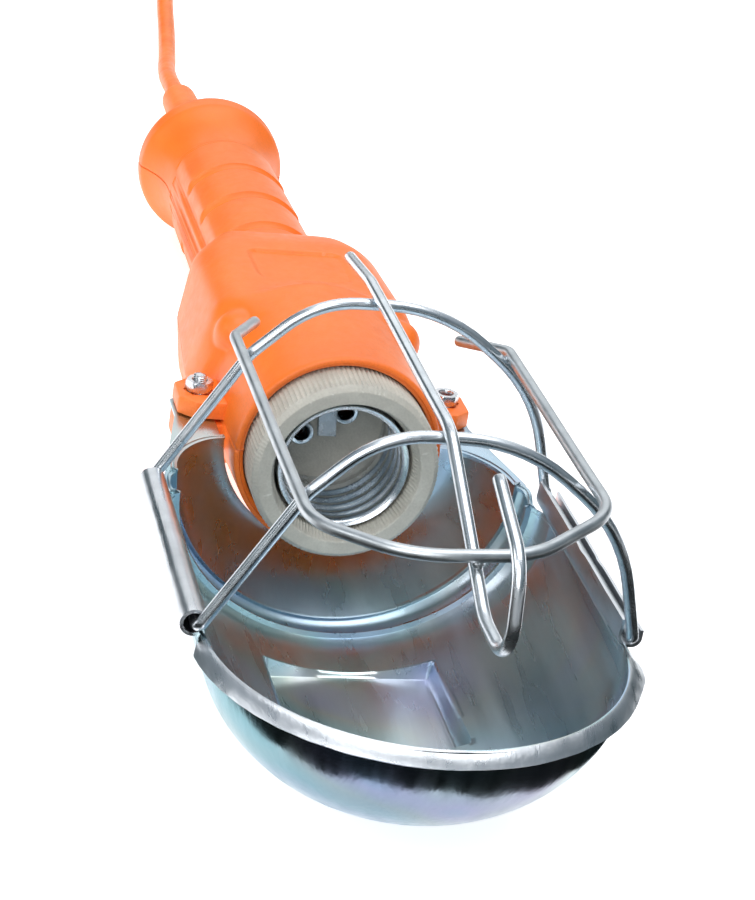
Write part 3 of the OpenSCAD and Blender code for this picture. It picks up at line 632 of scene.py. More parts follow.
def housing_half(name, side, node):
    """One half shell: side is 1 for the upper half and -1 for the lower."""
    coarse = np.arange(-196.5, -10.4, 0.9)
    dense = [np.arange(e - 1.2, e + 1.2, 0.2) for e in RECESS_X]
    dense += [np.arange(-1.5, 5, 0.4) + GRIP_X0 + RING_PITCH * k for k in range(RINGS)]
    xs = np.unique(np.round(np.concatenate([coarse, *dense]), 2))[::-1]
    a = np.radians(np.concatenate([[0.15], np.linspace(0.9, 179.1, 231), [179.85]]))[None, :]
    groove = np.where((a < a[0, 1] - 1e-6) | (a > a[0, -2] + 1e-6), 0.25, 0)
    lip = [(-10.3, BORE_R), (-9.95, BORE_R + 0.35), (-9.9, BORE_R + 0.75), (-9.5, BORE_R + 0.95), (-9.5, 22.45),
           (-9.65, 22.8), (-10.05, 23.02)]
    tail = [(FLANGE_X + 3.4, FLANGE_R), (FLANGE_X + 1.6, FLANGE_R), (FLANGE_X + 0.8, 19.9), (FLANGE_X + 0.25, 19.4),
            (FLANGE_X, 18.6), (FLANGE_X + 0.1, 14.0), (FLANGE_X + 0.2, 9.0), (FLANGE_X + 0.25, 6.8),
            (FLANGE_X + 0.6, 6.5)]
    flat = np.zeros_like(a)
    outer_x = [x for x, _ in lip] + list(xs) + [x for x, _ in tail]
    body = housing_radius(xs[:, None] + flat, a + 0 * xs[:, None], side > 0)
    outer_r = np.concatenate([[r + flat[0] for _, r in lip], body, [r + flat[0] for _, r in tail]])
    outer_r = outer_r - groove
    outer_x = np.array(outer_x)[:, None] + flat
    inner_r = np.minimum(outer_r - WALL, 25.5)
    inner_r = np.where(outer_x > SEAT_X, BORE_R, np.maximum(inner_r, 6.5))
    inner_x = np.clip(outer_x, FLANGE_X + 4, -10.3)
    inner_x = np.where(outer_x < FLANGE_X + 3.5, inner_x + 0.01 * (FLANGE_X + 3.5 - outer_x), inner_x)
    inner_r = np.where(outer_x <= FLANGE_X + 3.4, np.minimum(outer_r, 12.0), inner_r)
    rows_x = np.concatenate([outer_x, inner_x[::-1]])
    rows_r = np.concatenate([outer_r, inner_r[::-1]])
    angles = np.broadcast_to(a, rows_r.shape)
    z = rows_r * np.sin(angles) * side
    points = np.stack([rows_x, rows_r * np.cos(angles), z], 2).reshape(-1, 3)
    rows, cols = rows_r.shape
    faces = quads(rows, cols, close_rows=True)
    half = rows // 2
    for j in (0, cols - 1):
        for i in range(half - 1):
            k, m = rows - 1 - i, rows - 2 - i
            faces.append([i * cols + j, (i + 1) * cols + j, m * cols + j, k * cols + j])
    made = piece(name, [(points, faces)], "orange", stands_for=[node], sharp=55)
    return made


def ear_outline(grow=0.0):
    return [(20, EAR_X - 7 - grow), (EAR_Y + 1.5, EAR_X - 7 - grow), (EAR_Y + 5 + grow, EAR_X - 4),
            (EAR_Y + 5 + grow, EAR_X + 4), (EAR_Y + 1.5, EAR_X + 7 + grow), (20, EAR_X + 7 + grow)]


def slab(points, z0, z1, corner=0.8, edge=0.5):
    """Flat solid from (y, x) outline points between two heights."""
    part = extruded(outline([(x, y) for y, x in points], corner), z0, z1, edge)
    return np.asarray(part[0])[:, [1, 2, 0]], part[1]


def hexagon(r, turn=0.0):
    return [(r * math.cos(math.radians(60 * k + turn)), r * math.sin(math.radians(60 * k + turn))) for k in range(6)]


def ear_pieces():
    raised = [(21, EAR_X - 5.2), (EAR_Y + 0.8, EAR_X - 5.2), (EAR_Y + 3.6, EAR_X - 3), (EAR_Y + 3.6, EAR_X + 3),
              (EAR_Y + 0.8, EAR_X + 5.2), (21, EAR_X + 5.2)]
    upper = piece("ear_pads_upper", both(slab(ear_outline(), 0.45, 4.6, 0.9, 0.6))
                  + both(slab(raised, 3.6, 6.0, 0.9, 0.5)), "orange")
    pocket = upright(extruded(outline(hexagon(3.45), 0.2), 0, 6), (EAR_X, EAR_Y, 4.0))
    hole = upright(lathe([(1.7, -8), (1.7, 9)], 32, closed=False), (EAR_X, EAR_Y, 0))
    carve(upper, both(pocket))
    carve(upper, both(hole))
    lower = piece("ear_pads_lower", both(slab(ear_outline(), -7.0, -0.45, 0.9, 0.7)), "orange")
    carve(lower, both(hole))


def thread(r, x0, x1, pitch, depth, sides=40, per_turn=8):
    """Threaded rod along X with a domed end at x1."""
    xs = np.arange(x0, x1 - 0.4, pitch / per_turn)
    rows = [(r, x) for x in xs] + [(r * 0.86, x1 - 0.25), (r * 0.5, x1 - 0.06), (r * 0.1, x1)]
    last = xs[-1]

    def shape(rr, x, a):
        phase = (x / pitch - a / (2 * math.pi)) % 1.0
        cut = depth * (0.5 + 0.5 * np.cos(2 * math.pi * phase)) ** 0.8
        return np.where(x <= last + 1e-6, rr - cut, rr)

    return lathe(rows, sides, closed=False, reshape=shape)


def hex_nut(r, bore, x0, x1, sides=48):
    """Hex nut along X, its corners chamfered where it is turned."""
    def shape(rr, x, a):
        local = (a % (math.pi / 3)) - math.pi / 6
        hexed = r * math.cos(math.pi / 6) / np.cos(local)
        return np.where(rr > bore + 0.3, np.minimum(hexed, rr), rr)

    chamfer = 0.35
    side = [(r * 0.9, x0), (r * 1.01, x0 + chamfer), (r * 1.01, x1 - chamfer), (r * 0.9, x1)]
    return lathe([(bore + 0.15, x0), *side, (bore + 0.15, x1), (bore, x1 - 0.2), (bore, x0 + 0.2)], sides, reshape=shape)


def pan_head(r, x0, x1, sides=40):
    """Low domed screw head along X whose underside is at x1."""
    h = x1 - x0
    dome = [(r * math.cos(t), x0 + h * 0.62 * (1 - math.sin(t))) for t in np.linspace(0, 1.45, 8)]
    return lathe([(0.2, x1), (r * 0.97, x1), (r, x1 - 0.15), *dome], sides, closed=False)


def cross_cut(x, size, place):
    arm = outline([(-size, -0.32), (size, -0.32), (size, 0.32), (-size, 0.32)], 0.15)
    bars = [extruded(shape, x, x + 1.1) for shape in (arm, arm[:, ::-1])]
    return [upright(bar, place) for bar in bars]


def fastener_pieces():
    rods = both(upright(thread(1.5, -7.2, 8.6, 0.5, 0.24), (EAR_X, EAR_Y, 0)))
    heads = both(upright(pan_head(2.8, -9.0, -7.0), (EAR_X, EAR_Y, 0)))
    screws = piece("ear_screw_pair", rods + heads, "screw", stands_for=["ear_screws"])
    cuts = cross_cut(-9.6, 1.6, (EAR_X, EAR_Y, 0))
    for bar in cuts:
        carve(screws, both(bar))
    nut = upright(hex_nut(3.15, 1.62, 4.75, 7.1), (EAR_X, EAR_Y, 0))
    piece("ear_nut_pair", both(nut), "screw", stands_for=["ear_nuts"])

    def split(rr, x, a):
        return np.where((a < 0.14) & (rr > 2.2), 2.45, rr)

    washer = lathe([(1.65, 4.0), (2.6, 4.0), (2.7, 4.1), (2.7, 4.6), (2.6, 4.7), (1.65, 4.7)], 48, reshape=split)
    piece("ear_washer_pair", both(upright(washer, (EAR_X, EAR_Y, 0))), "screw", stands_for=["ear_washers"])
    parts, crosses = [], []
    for x, y in BOSSES:
        seat = -11 if x < -90 else -15
        parts.append(upright(pan_head(2.7, seat - 2.0, seat), (x, y, 0)))
        parts.append(upright(thread(1.05, seat - 0.2, 7, 0.7, 0.2, 20, 6), (x, y, 0)))
        crosses.append(cross_cut(seat - 2.6, 1.5, (x, y, 0)))
    drivers = piece("shell_screw_set", parts, "screw", stands_for=["housing_screws"])
    for k in (0, 1):
        carve(drivers, [pair[k] for pair in crosses])


def boss_tubes():
    """Screw wells in the lower half, open to below."""
    parts = []
    for x, y in BOSSES:
        seat, reach = (-11, -14.2) if x < -90 else (-15, -19.6)
        well = outline([(1.6, -1), (3.0, -1), (4.3, seat), (4.3, reach), (3.1, reach), (3.1, seat), (1.6, seat)], 0.25)
        parts.append(upright(lathe(well, 40), (x, y, 0)))
    piece("screw_wells", parts, "orange")


def housing_pieces():
    housing_half("housing_top_shell", 1, "housing_upper")
    lower = housing_half("housing_bottom_shell", -1, "housing_lower")
    carve(lower, [upright(lathe([(3.1, -26), (3.1, -10.8 if x < -90 else -14.8)], 40, closed=False), (x, y, 0))
                  for x, y in BOSSES])
    ear_pieces()
    boss_tubes()
    fastener_pieces()


housing_pieces()

# ------------------------------------------------------------------ lampholder

HOLDER_R = 20.75
HOLDER_BACK_X, HOLDER_FLOOR_X = -36.0, -27.0
SHELL_R = 13.3
RIB_COUNT = 118
EYELET_R, EYELET_TURN = 5.5, 30.0
THREAD_PITCH = 3.63


def holder_piece():
    profile = rounded([(0.6, -36, 0), (HOLDER_R, -36, 0), (HOLDER_R, -1.4, 0), (HOLDER_R - 1.25, 0, 0), (16.4, 0, 0),
                       (15.3, -3.5, 0), (15.0, HOLDER_FLOOR_X, 0), (0.6, HOLDER_FLOOR_X, 0)],
                      [0, 0.8, 0.9, 0.9, 0.7, 0.5, 0.6, 0])
    profile = spaced(profile, 0.8)[:, :2]

    def shape(r, x, a):
        rib = np.abs(np.sin(RIB_COUNT / 2 * a)) ** 0.7
        outside = (r > HOLDER_R - 0.6) * smooth(-x, 0.9, 1.8)
        inside = (r > 14.6) * (r < 16.5) * smooth(-x, 0.5, 1.4) * (1 - smooth(-x, 5, 7))
        lip = (x > -0.9) * (r > 15.9)
        hatch = np.sin(a * 74 + r * 3.1) * np.sin(a * 74 - r * 3.1)
        return r - 0.36 * rib * outside + 0.22 * rib * inside + 0.13 * hatch * lip

    body = piece("porcelain_holder", [lathe(profile, RIB_COUNT * 6, closed=False, reshape=shape)], "porcelain",
                 stands_for=["holder_body"], sharp=70)
    holes = []
    for turn in (EYELET_TURN, EYELET_TURN + 180):
        y, z = EYELET_R * math.cos(math.radians(turn)), EYELET_R * math.sin(math.radians(turn))
        bore = lathe([(1.8, -38), (1.8, -24)], 32, closed=False)
        holes.append((bore[0] + (0, y, z), bore[1]))
    carve(body, holes)


def shell_piece():
    """Rolled screw shell: a helical bead in thin sheet, with a flared and turned lip."""
    sides, sheet_t = 160, 0.45
    xs = np.arange(-21.0, -5.0, 0.2)

    def bead(x, a):
        phase = (x / THREAD_PITCH + a / (2 * math.pi)) % 1.0
        fade = smooth(x, -20.6, -18.5) * (1 - smooth(x, -7.4, -5.6))
        return 0.85 * (0.5 + 0.5 * np.cos(2 * math.pi * phase)) ** 1.3 * fade

    skirt = [(SHELL_R + 0.75, HOLDER_FLOOR_X + 0.2), (SHELL_R + 0.75, -21.6)]
    neck = [(SHELL_R + 0.25, x) for x in xs]
    lip = [(SHELL_R + 0.3, -4.7), (SHELL_R + 0.55, -4.2), (SHELL_R + 0.95, -3.8), (SHELL_R + 1.3, -3.65)]
    line = np.array(skirt + neck + lip)
    outer = line + (0, 0)
    inner = line - (sheet_t, 0)
    inner[-1] += (0.25, 0.18)
    loop = np.concatenate([outer, inner[::-1]])

    def shape(r, x, a):
        return r + bead(x, a) * (x > -21.2) * (x < -5)

    return piece("screw_shell_sleeve", [lathe(loop, sides, reshape=shape)], "shell", stands_for=["screw_shell"],
                 sharp=60)


def rivet_parts(y, z):
    flare = rounded([(1.75, -36.5, 0), (2.35, -36.5, 0), (2.35, HOLDER_FLOOR_X, 0), (3.1, HOLDER_FLOOR_X + 0.05, 0),
                     (2.7, HOLDER_FLOOR_X + 0.75, 0), (1.9, HOLDER_FLOOR_X + 0.6, 0), (1.75, HOLDER_FLOOR_X, 0)],
                    0.2, closed=True)[:, :2]
    part = lathe(flare, 40)
    return part[0] + (0, y, z), part[1]


def strip(points, width, thick, radius):
    """Flat spring strip whose (x, z) centre line is given; its width lies along Y."""
    line = spaced(rounded([(x, 0, z) for x, z in points], radius, 12), 0.6)
    way = np.gradient(line, axis=0)
    way /= np.linalg.norm(way, axis=1)[:, None]
    flat = np.stack([-way[:, 2], 0 * way[:, 0], way[:, 0]], 1)
    half_w = np.broadcast_to(width, len(line))[:, None] / 2
    section = [(-1, -1), (-0.9, 1), (0.9, 1), (1, -1)]
    across = np.array((0, 1, 0))
    rows = [line + across * half_w * w + flat * thick / 2 * t for w, t in section]
    points3 = np.stack(rows, 1).reshape(-1, 3)
    faces = quads(len(line), 4, close_cols=True)
    count = len(points3)
    return points3, faces + [[0, 1, 2, 3], [count - 4, count - 3, count - 2, count - 1]]


def contact_pieces():
    places = [math.radians(EYELET_TURN + k) for k in (0, 180)]
    piece("eyelets", [p for a in places for p in [rivet_parts(EYELET_R * math.cos(a), EYELET_R * math.sin(a))]],
          "shell", stands_for=["shell_rivets"])
    head = lathe([(1.4, -36.5), (1.4, HOLDER_FLOOR_X + 0.5), (2.1, HOLDER_FLOOR_X + 0.75), (1.9, HOLDER_FLOOR_X + 1.3),
                  (1.2, HOLDER_FLOOR_X + 1.55), (0.3, HOLDER_FLOOR_X + 1.6)], 32, closed=False)
    foot = extruded(outline([(-2.3, 7.2), (2.3, 7.2), (2.3, 11.6), (-2.3, 11.6)], 0.9), HOLDER_FLOOR_X + 0.1,
                    HOLDER_FLOOR_X + 0.7, 0.1)
    piece("contact_rivet_foot", [(head[0] + (0, 0, 9.5), head[1]), foot], "shell", stands_for=["contact_foot"])
    root_x, root_z = HOLDER_FLOOR_X + 1.4, 6.4
    lean = math.radians(25)
    down = np.array((math.sin(lean), -math.cos(lean)))
    tip = np.array((root_x, root_z)) + down * 8.4
    tongue = strip([(root_x, root_z + 0.2), (root_x + down[0] * 4, root_z + down[1] * 4), tuple(tip)], 4.4, 0.5, 8)
    knuckle = lathe([(0.15, -2.3), (0.62, -2.3), (0.7, -2.2), (0.7, 2.2), (0.62, 2.3), (0.15, 2.3)], 24, closed=False)
    knuckle = turned(knuckle, Matrix.Translation((root_x, 0, root_z)) @ Matrix.Rotation(math.pi / 2, 4, "Z"))
    piece("contact_tongue", [tongue, knuckle], "shell", body="contact", stands_for=["centre_contact"])


holder_piece()
shell_piece()
contact_pieces()

# ------------------------------------------------------------------ reflector

TROUGH_W, TROUGH_D = 41.6, 34.0
DOME_X, DOME_L = 69.0, 38.8
SHEET = 0.8
FOOT_X, FOOT_Y = (26.0, 58.0), 17.5
FOOT_Z = -(TROUGH_D + SHEET + 1.5)
# Rows of the pressed dish: x, half width, depth, height of the rim. A doubled row is a crease.
DISH = np.array([
    (-16, 24.4, 24.4, 0.4), (-15.2, 28, 25.6, 0.4), (-13, 31.5, 27.4, 0.4), (-9, 34.8, 29.9, 0.4), (-4, 37, 32.5, 0.4),
    (1.6, 38, 35, 0.4), (1.8, 38.05, 35.05, 0.4), (4, 39.6, 36, 0.1), (7.5, 39.4, 35, -0.8), (10, 38.6, 33.4, -1),
    (10.2, 38.62, 33.4, -1), (13, 40.6, 34, -1), (17, 41.6, 33.8, -1),
])


def catmull(p, per_span):
    """Smooth rows through the given rows."""
    out = []
    for i in range(len(p) - 1):
        a, b, c, d = p[max(i - 1, 0)], p[i], p[i + 1], p[min(i + 2, len(p) - 1)]
        for f in np.arange(per_span) / per_span:
            out.append(b + 0.5 * f * (c - a + f * (2 * a - 5 * b + 4 * c - d + f * (3 * b - a - 3 * c + d))))
    return out + [p[-1]]


def reflector_rows():
    dish = catmull(DISH, 5)
    xs = np.unique(np.round(np.concatenate([np.arange(17.6, DOME_X, 1.0)] + [
        e + np.array((-1.2, -0.8, -0.4, 0, 0.4)) for e in FOOT_X]), 2))
    trough = [(x, TROUGH_W, TROUGH_D - 0.2 - 1.2 * (x - 17) / (DOME_X - 17), -1) for x in xs]
    dome = []
    for a in np.radians(np.linspace(0.0, 89.2, 60)):
        dome.append((DOME_X + DOME_L * math.sin(a), TROUGH_W * math.cos(a), (TROUGH_D - 1.4) * math.cos(a),
                     -1 - 1.5 * math.sin(a)))
    return np.array([*dish, *trough, *dome])


def arc_angles():
    """Angles of the section's points, closer together at the foot's side walls."""
    wall = math.acos(FOOT_Y / TROUGH_W)
    extra = [wall + d / TROUGH_W for d in (-1.3, -0.9, -0.5, -0.1, 0.3)]
    one_side = np.unique(np.concatenate([np.linspace(0, math.pi / 2, 46), extra]))
    return np.concatenate([one_side, (math.pi - one_side[::-1])[1:]])


def reflector_skin(rows, angles):
    """Inside surface: (rows, points, 3)."""
    x, w, d, rim = (rows[:, k:k + 1] for k in range(4))
    y = -w * np.cos(angles)
    z = rim - d * np.sin(angles)
    share = ((1 - smooth(FOOT_X[0] - x, -0.1, 0.9)) * (1 - smooth(x - FOOT_X[1], 0.0, 1.3))
             * (1 - smooth(np.abs(y) - FOOT_Y, -0.1, 1.2)))
    floor = FOOT_Z + SHEET
    z = np.where(floor < z, z * (1 - share) + floor * share, z)
    dent = 0.10 * np.exp(-((x - 52) / 9) ** 2 - ((y - 30) / 6) ** 2)
    return np.stack([x + 0 * y, y, z + dent], 2)


def lip_rows(rows, side, base):
    """Turned rim beyond one side of the skin, from the outer edge inwards."""
    x, w = rows[:, 0], rows[:, 1]
    nx = np.where(x > DOME_X, (x - DOME_X) / DOME_L ** 2, 0)
    ny = np.where(x > DOME_X, w / TROUGH_W ** 2, 1)
    size = np.hypot(nx, ny)
    nx, ny = nx / size, ny / size
    front = smooth(x, 71.2, 74.5)
    out = 0.4 + 1.3 * smooth(x, 4, 9) + 1.3 * front
    down = 1.2 + 1.1 * front
    if side > 0:
        torn = np.exp(-((x - 77) / 5) ** 2)
        out = out + 0.8 * torn + 0.12 * torn * np.sin(x * 3.1)
    layers = []
    for t in (1.0, 0.82, 0.6, 0.4, 0.24, 0.1):
        reach = out * t
        drop = down * (0.25 * t + 0.75 * t ** 1.8)
        wobble = 0.05 * np.sin(x * 1.7 + side) * t
        layers.append(np.stack([x + nx * reach, side * (w + ny * reach), base[:, 2] - drop + wobble], 1))
    return layers


def dish_part():
    rows = reflector_rows()
    angles = arc_angles()
    skin = reflector_skin(rows, angles)
    left = lip_rows(rows, -1, skin[:, 0])
    right = lip_rows(rows, 1, skin[:, -1])
    top = np.concatenate([np.stack(left, 1), skin, np.stack(right[::-1], 1)], 1)
    along, across = np.gradient(top, axis=0), np.gradient(top, axis=1)
    normal = np.cross(along, across)
    normal /= np.maximum(np.linalg.norm(normal, axis=2), 1e-9)[:, :, None]
    centre = np.array((20, 0, 60.0))
    if np.sum(normal * (centre - top)) < 0:
        normal = -normal
    under = top - normal * SHEET
    n, m = top.shape[:2]
    points = np.concatenate([top.reshape(-1, 3), under.reshape(-1, 3)])
    faces = quads(n, m) + [[k + n * m for k in f] for f in quads(n, m)]
    for i in range(n - 1):
        for j in (0, m - 1):
            a, b = i * m + j, (i + 1) * m + j
            faces.append([a, b, b + n * m, a + n * m])
    for j in range(m - 1):
        a, b = j, j + 1
        faces.append([a, b, b + n * m, a + n * m])
    for tip in ((n - 1) * m, (n - 1) * m + n * m):
        for j in range((m - 1) // 2):
            last = tip + m - 1
            faces.append([tip + j, tip + j + 1, last - j - 1, last - j] if j < (m - 3) // 2
                         else [tip + j, tip + j + 1, last - j])
    tip = (n - 1) * m
    faces.append([tip, tip + m - 1, tip + m - 1 + n * m, tip + n * m])
    return points, faces, rows, n, m


HINGE_Y, HINGE_Z = -43.2, 0.6
LATCH_Y = 43.2
EDGE_X = (8.0, 69.4)


def curl_part(y, z, outer, inner, start, end):
    """Open curl of sheet along X: start and end are angles from +Y, anticlockwise seen from the front."""
    count = 44
    a = np.radians(np.linspace(start, end, count))
    ring_out = [(y + outer * math.cos(t), z + outer * math.sin(t)) for t in a]
    ring_in = [(y + inner * math.cos(t), z + inner * math.sin(t)) for t in a[::-1]]
    shape = np.array(ring_out + ring_in)
    xs = np.linspace(EDGE_X[0], EDGE_X[1], 32)
    points = []
    for x in xs:
        wave = 0.05 * math.sin(x * 0.21) + 0.03 * math.sin(x * 0.83 + y)
        points.append(np.column_stack([np.full(len(shape), x), shape[:, 0], shape[:, 1] + wave]))
    n = len(shape)
    faces = quads(len(xs), n, close_cols=True)
    for base in (0, (len(xs) - 1) * n):
        faces += [[base + k, base + k + 1, base + n - 2 - k, base + n - 1 - k] for k in range(count - 1)]
    return np.concatenate(points), faces


def channel_part():
    """Open latch channel: a tall flat inner wall, a round bottom under the rod and a low outer wall."""
    y, z = LATCH_Y, HINGE_Z
    line = rounded([(y - 2.0, z + 3.6, 0), (y - 2.35, z - 2.2, 0), (y + 2.2, z - 2.2, 0), (y + 2.2, z + 1.3, 0)],
                   [0, 2.1, 2.1, 0], 12)[:, :2]
    way = np.gradient(line, axis=0)
    way /= np.linalg.norm(way, axis=1)[:, None]
    side = np.stack([-way[:, 1], way[:, 0]], 1) * 0.32
    shape = np.concatenate([line + side, (line - side)[::-1]])
    xs = np.linspace(EDGE_X[0], EDGE_X[1], 40)
    rows = []
    for x in xs:
        kink = 0.25 * math.exp(-((x - 40) / 1.6) ** 2)
        rows.append(np.column_stack([np.full(len(shape), x), shape[:, 0] - kink * (shape[:, 1] > z + 1),
                                     shape[:, 1] + 0.04 * math.sin(x * 0.3)]))
    n, count = len(shape), len(line)
    faces = quads(len(xs), n, close_cols=True)
    for base in (0, (len(xs) - 1) * n):
        faces += [[base + k, base + k + 1, base + n - 2 - k, base + n - 1 - k] for k in range(count - 1)]
    return np.concatenate(rows), faces


def tab_points():
    return [(25.2, EAR_X - 6.5), (EAR_Y + 2, EAR_X - 6.5), (EAR_Y + 5.5, EAR_X - 4), (EAR_Y + 5.5, EAR_X + 4.5),
            (40.2, 2.5), (38.3, 2.5), (37.4, -4), (35.2, -9), (32, -13), (28.6, -15.2), (25.2, -16.6)]


def reflector_pieces():
    points, faces, rows, n, m = dish_part()
    dish = piece("reflector_dish", [(points, faces)], "sheet", stands_for=["reflector"],
                 sharp=50)
    # Slot 1 is the darker copy of the zinc sheet, painted shade on the dome's outside.
    dish.data.materials.append(M["dome"])
    dish.data.materials.append(M["tube"])
    lip = 6
    for polygon in dish.data.polygons:
        k = polygon.vertices[0] % (n * m)
        i, j = divmod(k, m)
        outside = polygon.vertices[0] >= n * m
        if (j < lip or j >= m - lip) and rows[i, 0] > 72:
            polygon.material_index = 2
        # The dome's outside takes the darker zinc copy: painted shade for the shadowed floor it reflects.
        elif outside and rows[i, 0] > 60:
            polygon.material_index = 1
    piece("hinge_tube", [curl_part(-43.7, HINGE_Z, 2.8, 2.1, -42, 300)], "tube")
    piece("latch_channel", [channel_part()], "tube")
    tabs = piece("reflector_tabs", both(slab(tab_points(), -0.42, 0.26, 0.8, 0.1)), "sheet")
    carve(tabs, both(upright(lathe([(1.7, -3), (1.7, 3)], 32, closed=False), (EAR_X, EAR_Y, 0))))


reflector_pieces()

# ------------------------------------------------------------------ guard

WIRE_R = 1.25
HOOP_X = (6.3, 71.0)
HOOP_R = 43.6
ROD_INSET = 3.4
BOW = [(-15, -21.5, 28), (1.5, -28.9, 31.2), (86, -28.6, 31.2), (101.6, -14, 33), (101.2, 9, 33.6),
       (84.5, 28.4, 34.6), (4, 29.8, 32.4), (-12, 23.6, 27.6)]
BOW_BENDS = [0, 6, 16, 18, 18, 16, 6, 0]
HOOK_Y = -1.5
HOOK = [(-20, 42.4), (0, 44.65), (72.5, 44.65), (110, 25.4), (127.2, 25.4), (123.7, 43.6), (104.5, 50)]
HOOK_BENDS = [0, 6, 20, 12, 8, 9, 0]


def wire(points, bends):
    """Swept wire whose straight stretches waver a little, as hand-bent wire does."""
    line = spaced(rounded(points, bends, 6), 2.0)
    run = np.r_[0, np.cumsum(np.linalg.norm(np.diff(line, axis=0), axis=1))]
    sway = np.sin(run / run[-1] * math.pi)[:, None] * 0.12
    return sweep(line + sway * np.stack([0 * run, np.sin(run / 17), np.cos(run / 23)], 1), WIRE_R)


def hoop_part(x, toward):
    def on_arc(degrees):
        a = math.radians(degrees)
        return (x, HOOP_R * math.cos(a), HINGE_Z + HOOP_R * math.sin(a))

    points = [(x + ROD_INSET * toward, HINGE_Y, HINGE_Z), (x, HINGE_Y, HINGE_Z), (x, -26.3, 29.4), on_arc(108),
              on_arc(72), on_arc(33), (x, LATCH_Y, HINGE_Z), (x + ROD_INSET * toward, LATCH_Y, HINGE_Z)]
    return sweep(spaced(rounded(points, [0, 2.8, 14, 34, 36, 40, 2.8, 0], 6), 2.0), WIRE_R)


def weld(place, direction, size):
    """Flattened bead of melted wire, lumpy all round."""
    u = np.linspace(0, math.pi, 11)[1:-1]
    v = np.linspace(0, 2 * math.pi, 18, endpoint=False)
    uu, vv = np.meshgrid(u, v, indexing="ij")
    lumps = 1 + 0.10 * RNG.standard_normal(uu.shape)
    local = np.stack([np.cos(uu) * size[0], np.sin(uu) * np.cos(vv) * size[1], np.sin(uu) * np.sin(vv) * size[2]], 2)
    x = unit(np.asarray(direction, float))
    y = unit(np.cross((0, 0, 1.0), x))
    basis = np.stack([x, y, np.cross(x, y)])
    points = (local * lumps[:, :, None]).reshape(-1, 3) @ basis + place
    faces = quads(len(u), len(v), close_cols=True)
    count = len(points)
    return points, faces + [list(range(len(v))), list(range(count - len(v), count))]


def guard_pieces():
    def rod(y):
        return [sweep(spaced(np.array([(HOOP_X[0] + ROD_INSET, y, HINGE_Z), (HOOP_X[1] - ROD_INSET, y, HINGE_Z)]), 6),
                      WIRE_R, blunt=0.02)]

    def on_guard(name, parts, material, *nodes):
        piece(name, parts, material, body="guard", stands_for=nodes, sharp=60)

    on_guard("hinge_rod_wire", rod(HINGE_Y), "dull", "guard_hinge_rod")
    on_guard("latch_rod_wire", rod(LATCH_Y), "dull", "guard_latch_rod")
    on_guard("rear_hoop_wire", [hoop_part(HOOP_X[0], 1)], "bright", "guard_rear_hoop")
    on_guard("front_hoop_wire", [hoop_part(HOOP_X[1], -1)], "bright", "guard_front_hoop")
    on_guard("bow_wire", [wire(BOW, BOW_BENDS)], "dull", "guard_bow")
    on_guard("hook_wire", [wire([(x, HOOK_Y, z) for x, z in HOOK], HOOK_BENDS)], "bright", "guard_hook")
    rear_x, front_x = HOOP_X
    welds = [weld(place, (1, 0, 0), (1.6, 1.0, 0.8)) for place in (
        (rear_x, -27.9, 30.0), (rear_x, HOOK_Y, 44.1), (rear_x, 29.4, 32.0),
        (front_x, -27.8, 30.1), (front_x, HOOK_Y, 44.1), (front_x, 28.5, 33.8))]
    welds.append(weld((101.4, HOOK_Y, 31.8), (1, 0, 0), (0.9, 1.0, 1.0)))
    on_guard("weld_spots", welds, "dull")


guard_pieces()

# ------------------------------------------------------------------ gland and inside parts


def gland_piece():
    x0, x1 = FLANGE_X, GLAND_END_X
    line = [(2.9, x0 + 7.4), (8.4, x0 + 7.4), (8.5, x0 + 4.4), (6.4, x0 + 4.2), (6.4, x0 - 2)]
    line += [(6.4 - 1.3 * t, x0 - 2 - t * (x0 - 5 - x1)) for t in np.linspace(0.05, 1, 24)]
    line += [(4.95, x1 + 2), (4.55, x1 + 1), (3.9, x1 + 0.3), (3.2, x1 + 0.05), (2.9, x1), (2.86, x1 + 2)]
    piece("cord_sleeve", [lathe(line, 48)], "gland", stands_for=["cord_gland"], sharp=50)


def carried_over():
    """CAD nodes inside the housing keep their shape and get their finish."""
    finishes = {
        "terminal_blocks": "brass", "terminal_screws": "screw", "lead_live": "brown", "lead_neutral": "blue",
        "cord_clamp": "ivory", "clamp_screws": "screw", "cord_inner": "cord",
    }
    for node, key in finishes.items():
        made = frame["nodes"][node]
        made.data.materials.clear()
        made.data.materials.append(M[key])


gland_piece()
carried_over()

# ------------------------------------------------------------------ floor and light


FLOOR_GLOW = 0.7
CARD_GAP, CARD_R, CARD_Z = 9.0, 0.9, 0.0005


def softbox(name, place, target, width, height, power):
    light = bpy.data.lights.new(name, "AREA")
    light.shape = "RECTANGLE"
    light.size, light.size_y = width, height
    light.energy = power
    made = bpy.data.objects.new(name, light)
    bpy.context.scene.collection.objects.link(made)
    made.location = place
    made.rotation_euler = (Vector(target) - Vector(place)).to_track_quat("-Z", "Y").to_euler()


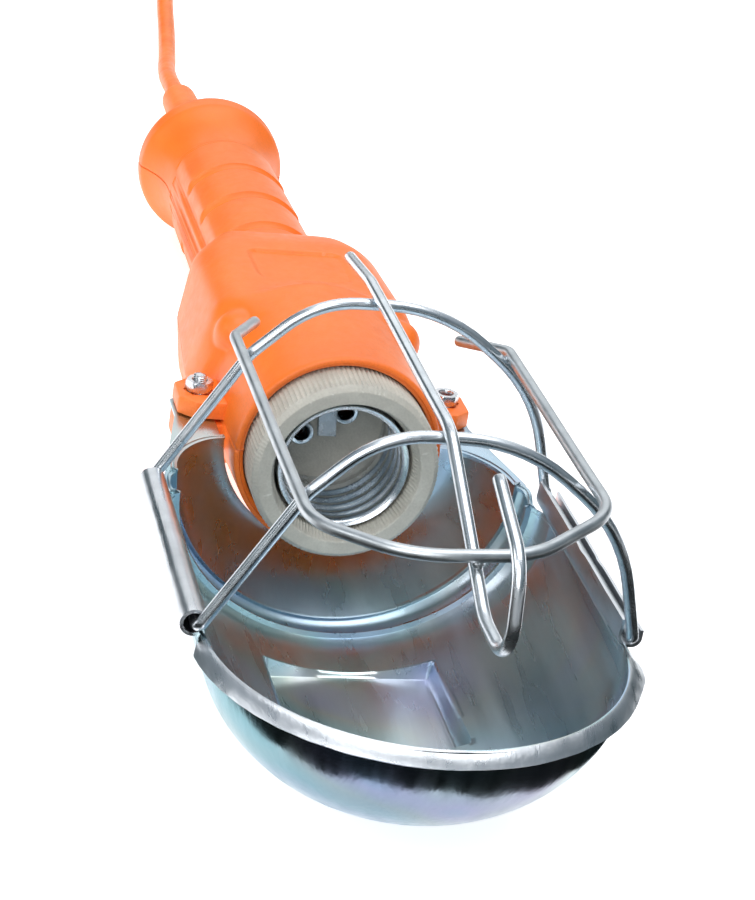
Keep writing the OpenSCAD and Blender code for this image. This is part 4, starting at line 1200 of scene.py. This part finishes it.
def dark_card():
    """Black card round the front of the dome that only shows as a reflection in the metal."""
    mesh = bpy.data.meshes.new("dark_card")
    centre = to_row([(DOME_X, 0, 0)])[0][0]
    turns = np.radians(np.linspace(-105, 105, 127))
    gap = CARD_GAP + 4 * np.sin(3 * turns + 2.2) + 2 * np.sin(11 * turns) + 22 * smooth(-turns, 0.6, 1.8)
    ring = [(centre + r * math.cos(a), r * math.sin(a), CARD_Z)
            for radii in ((TROUGH_W + gap) * MM, np.full(len(turns), CARD_R)) for r, a in zip(radii, turns)]
    mesh.from_pydata(ring, [], quads(2, len(turns)))
    card = bpy.data.objects.new("dark_card", mesh)
    bpy.context.scene.collection.objects.link(card)
    black = bpy.data.materials.new("black_card")
    black.use_nodes = True
    shader = black.node_tree.nodes["Principled BSDF"]
    shader.inputs["Base Color"].default_value = (0.006, 0.008, 0.008, 1)
    shader.inputs["Specular IOR Level"].default_value = 0.0
    mesh.materials.append(black)
    card.visible_camera = card.visible_diffuse = card.visible_shadow = card.visible_transmission = False


def make_studio():
    size = 6.0
    mesh = bpy.data.meshes.new("floor")
    mesh.from_pydata([(-size, -size, 0), (size, -size, 0), (size, size, 0), (-size, size, 0)], [], [(0, 1, 2, 3)])
    floor = bpy.data.objects.new("floor", mesh)
    bpy.context.scene.collection.objects.link(floor)
    floor.location.z = min(CAD_BOX[0][2], 0.0) - 0.0001
    pale = bpy.data.materials.new("pale_floor")
    pale.use_nodes = True
    shader = pale.node_tree.nodes["Principled BSDF"]
    shader.inputs["Base Color"].default_value = (0.85, 0.85, 0.855, 1)
    shader.inputs["Roughness"].default_value = 0.7
    shader.inputs["Specular IOR Level"].default_value = 0.2
    shader.inputs["Emission Color"].default_value = (1, 1, 1, 1)
    shader.inputs["Emission Strength"].default_value = FLOOR_GLOW
    mesh.materials.append(pale)
    softbox("top_bank", (0.0, 0.1, 1.35), (0, 0, 0), 1.2, 1.2, 12.4)
    softbox("back_bank", (-1.25, 0.3, 0.78), (-0.02, 0, 0.02), 1.8, 1.1, 6)
    softbox("side_bank", (0.1, -1.4, 0.8), (0, 0, 0), 0.8, 0.6, 3)
    softbox("front_bank", (0.85, -0.45, 0.62), (0.06, 0, 0.03), 0.9, 0.7, 6)
    dark_card()
    world = bpy.data.worlds.new("studio")
    world.use_nodes = True
    tree = world.node_tree
    direction = add(tree, "ShaderNodeTexCoord").outputs["Generated"]
    height = add(tree, "ShaderNodeSeparateXYZ", {"Vector": direction}).outputs["Z"]
    sky = ramp(tree, height, [(0.0, (0.03, 0.045, 0.055)), (0.3, (0.09, 0.13, 0.15)), (0.8, (0.34, 0.39, 0.44))])
    background = tree.nodes["Background"]
    tree.links.new(sky, background.inputs["Color"])
    background.inputs["Strength"].default_value = 1.0
    bpy.context.scene.world = world
    bpy.context.scene.view_settings.view_transform = "Standard"


make_studio()
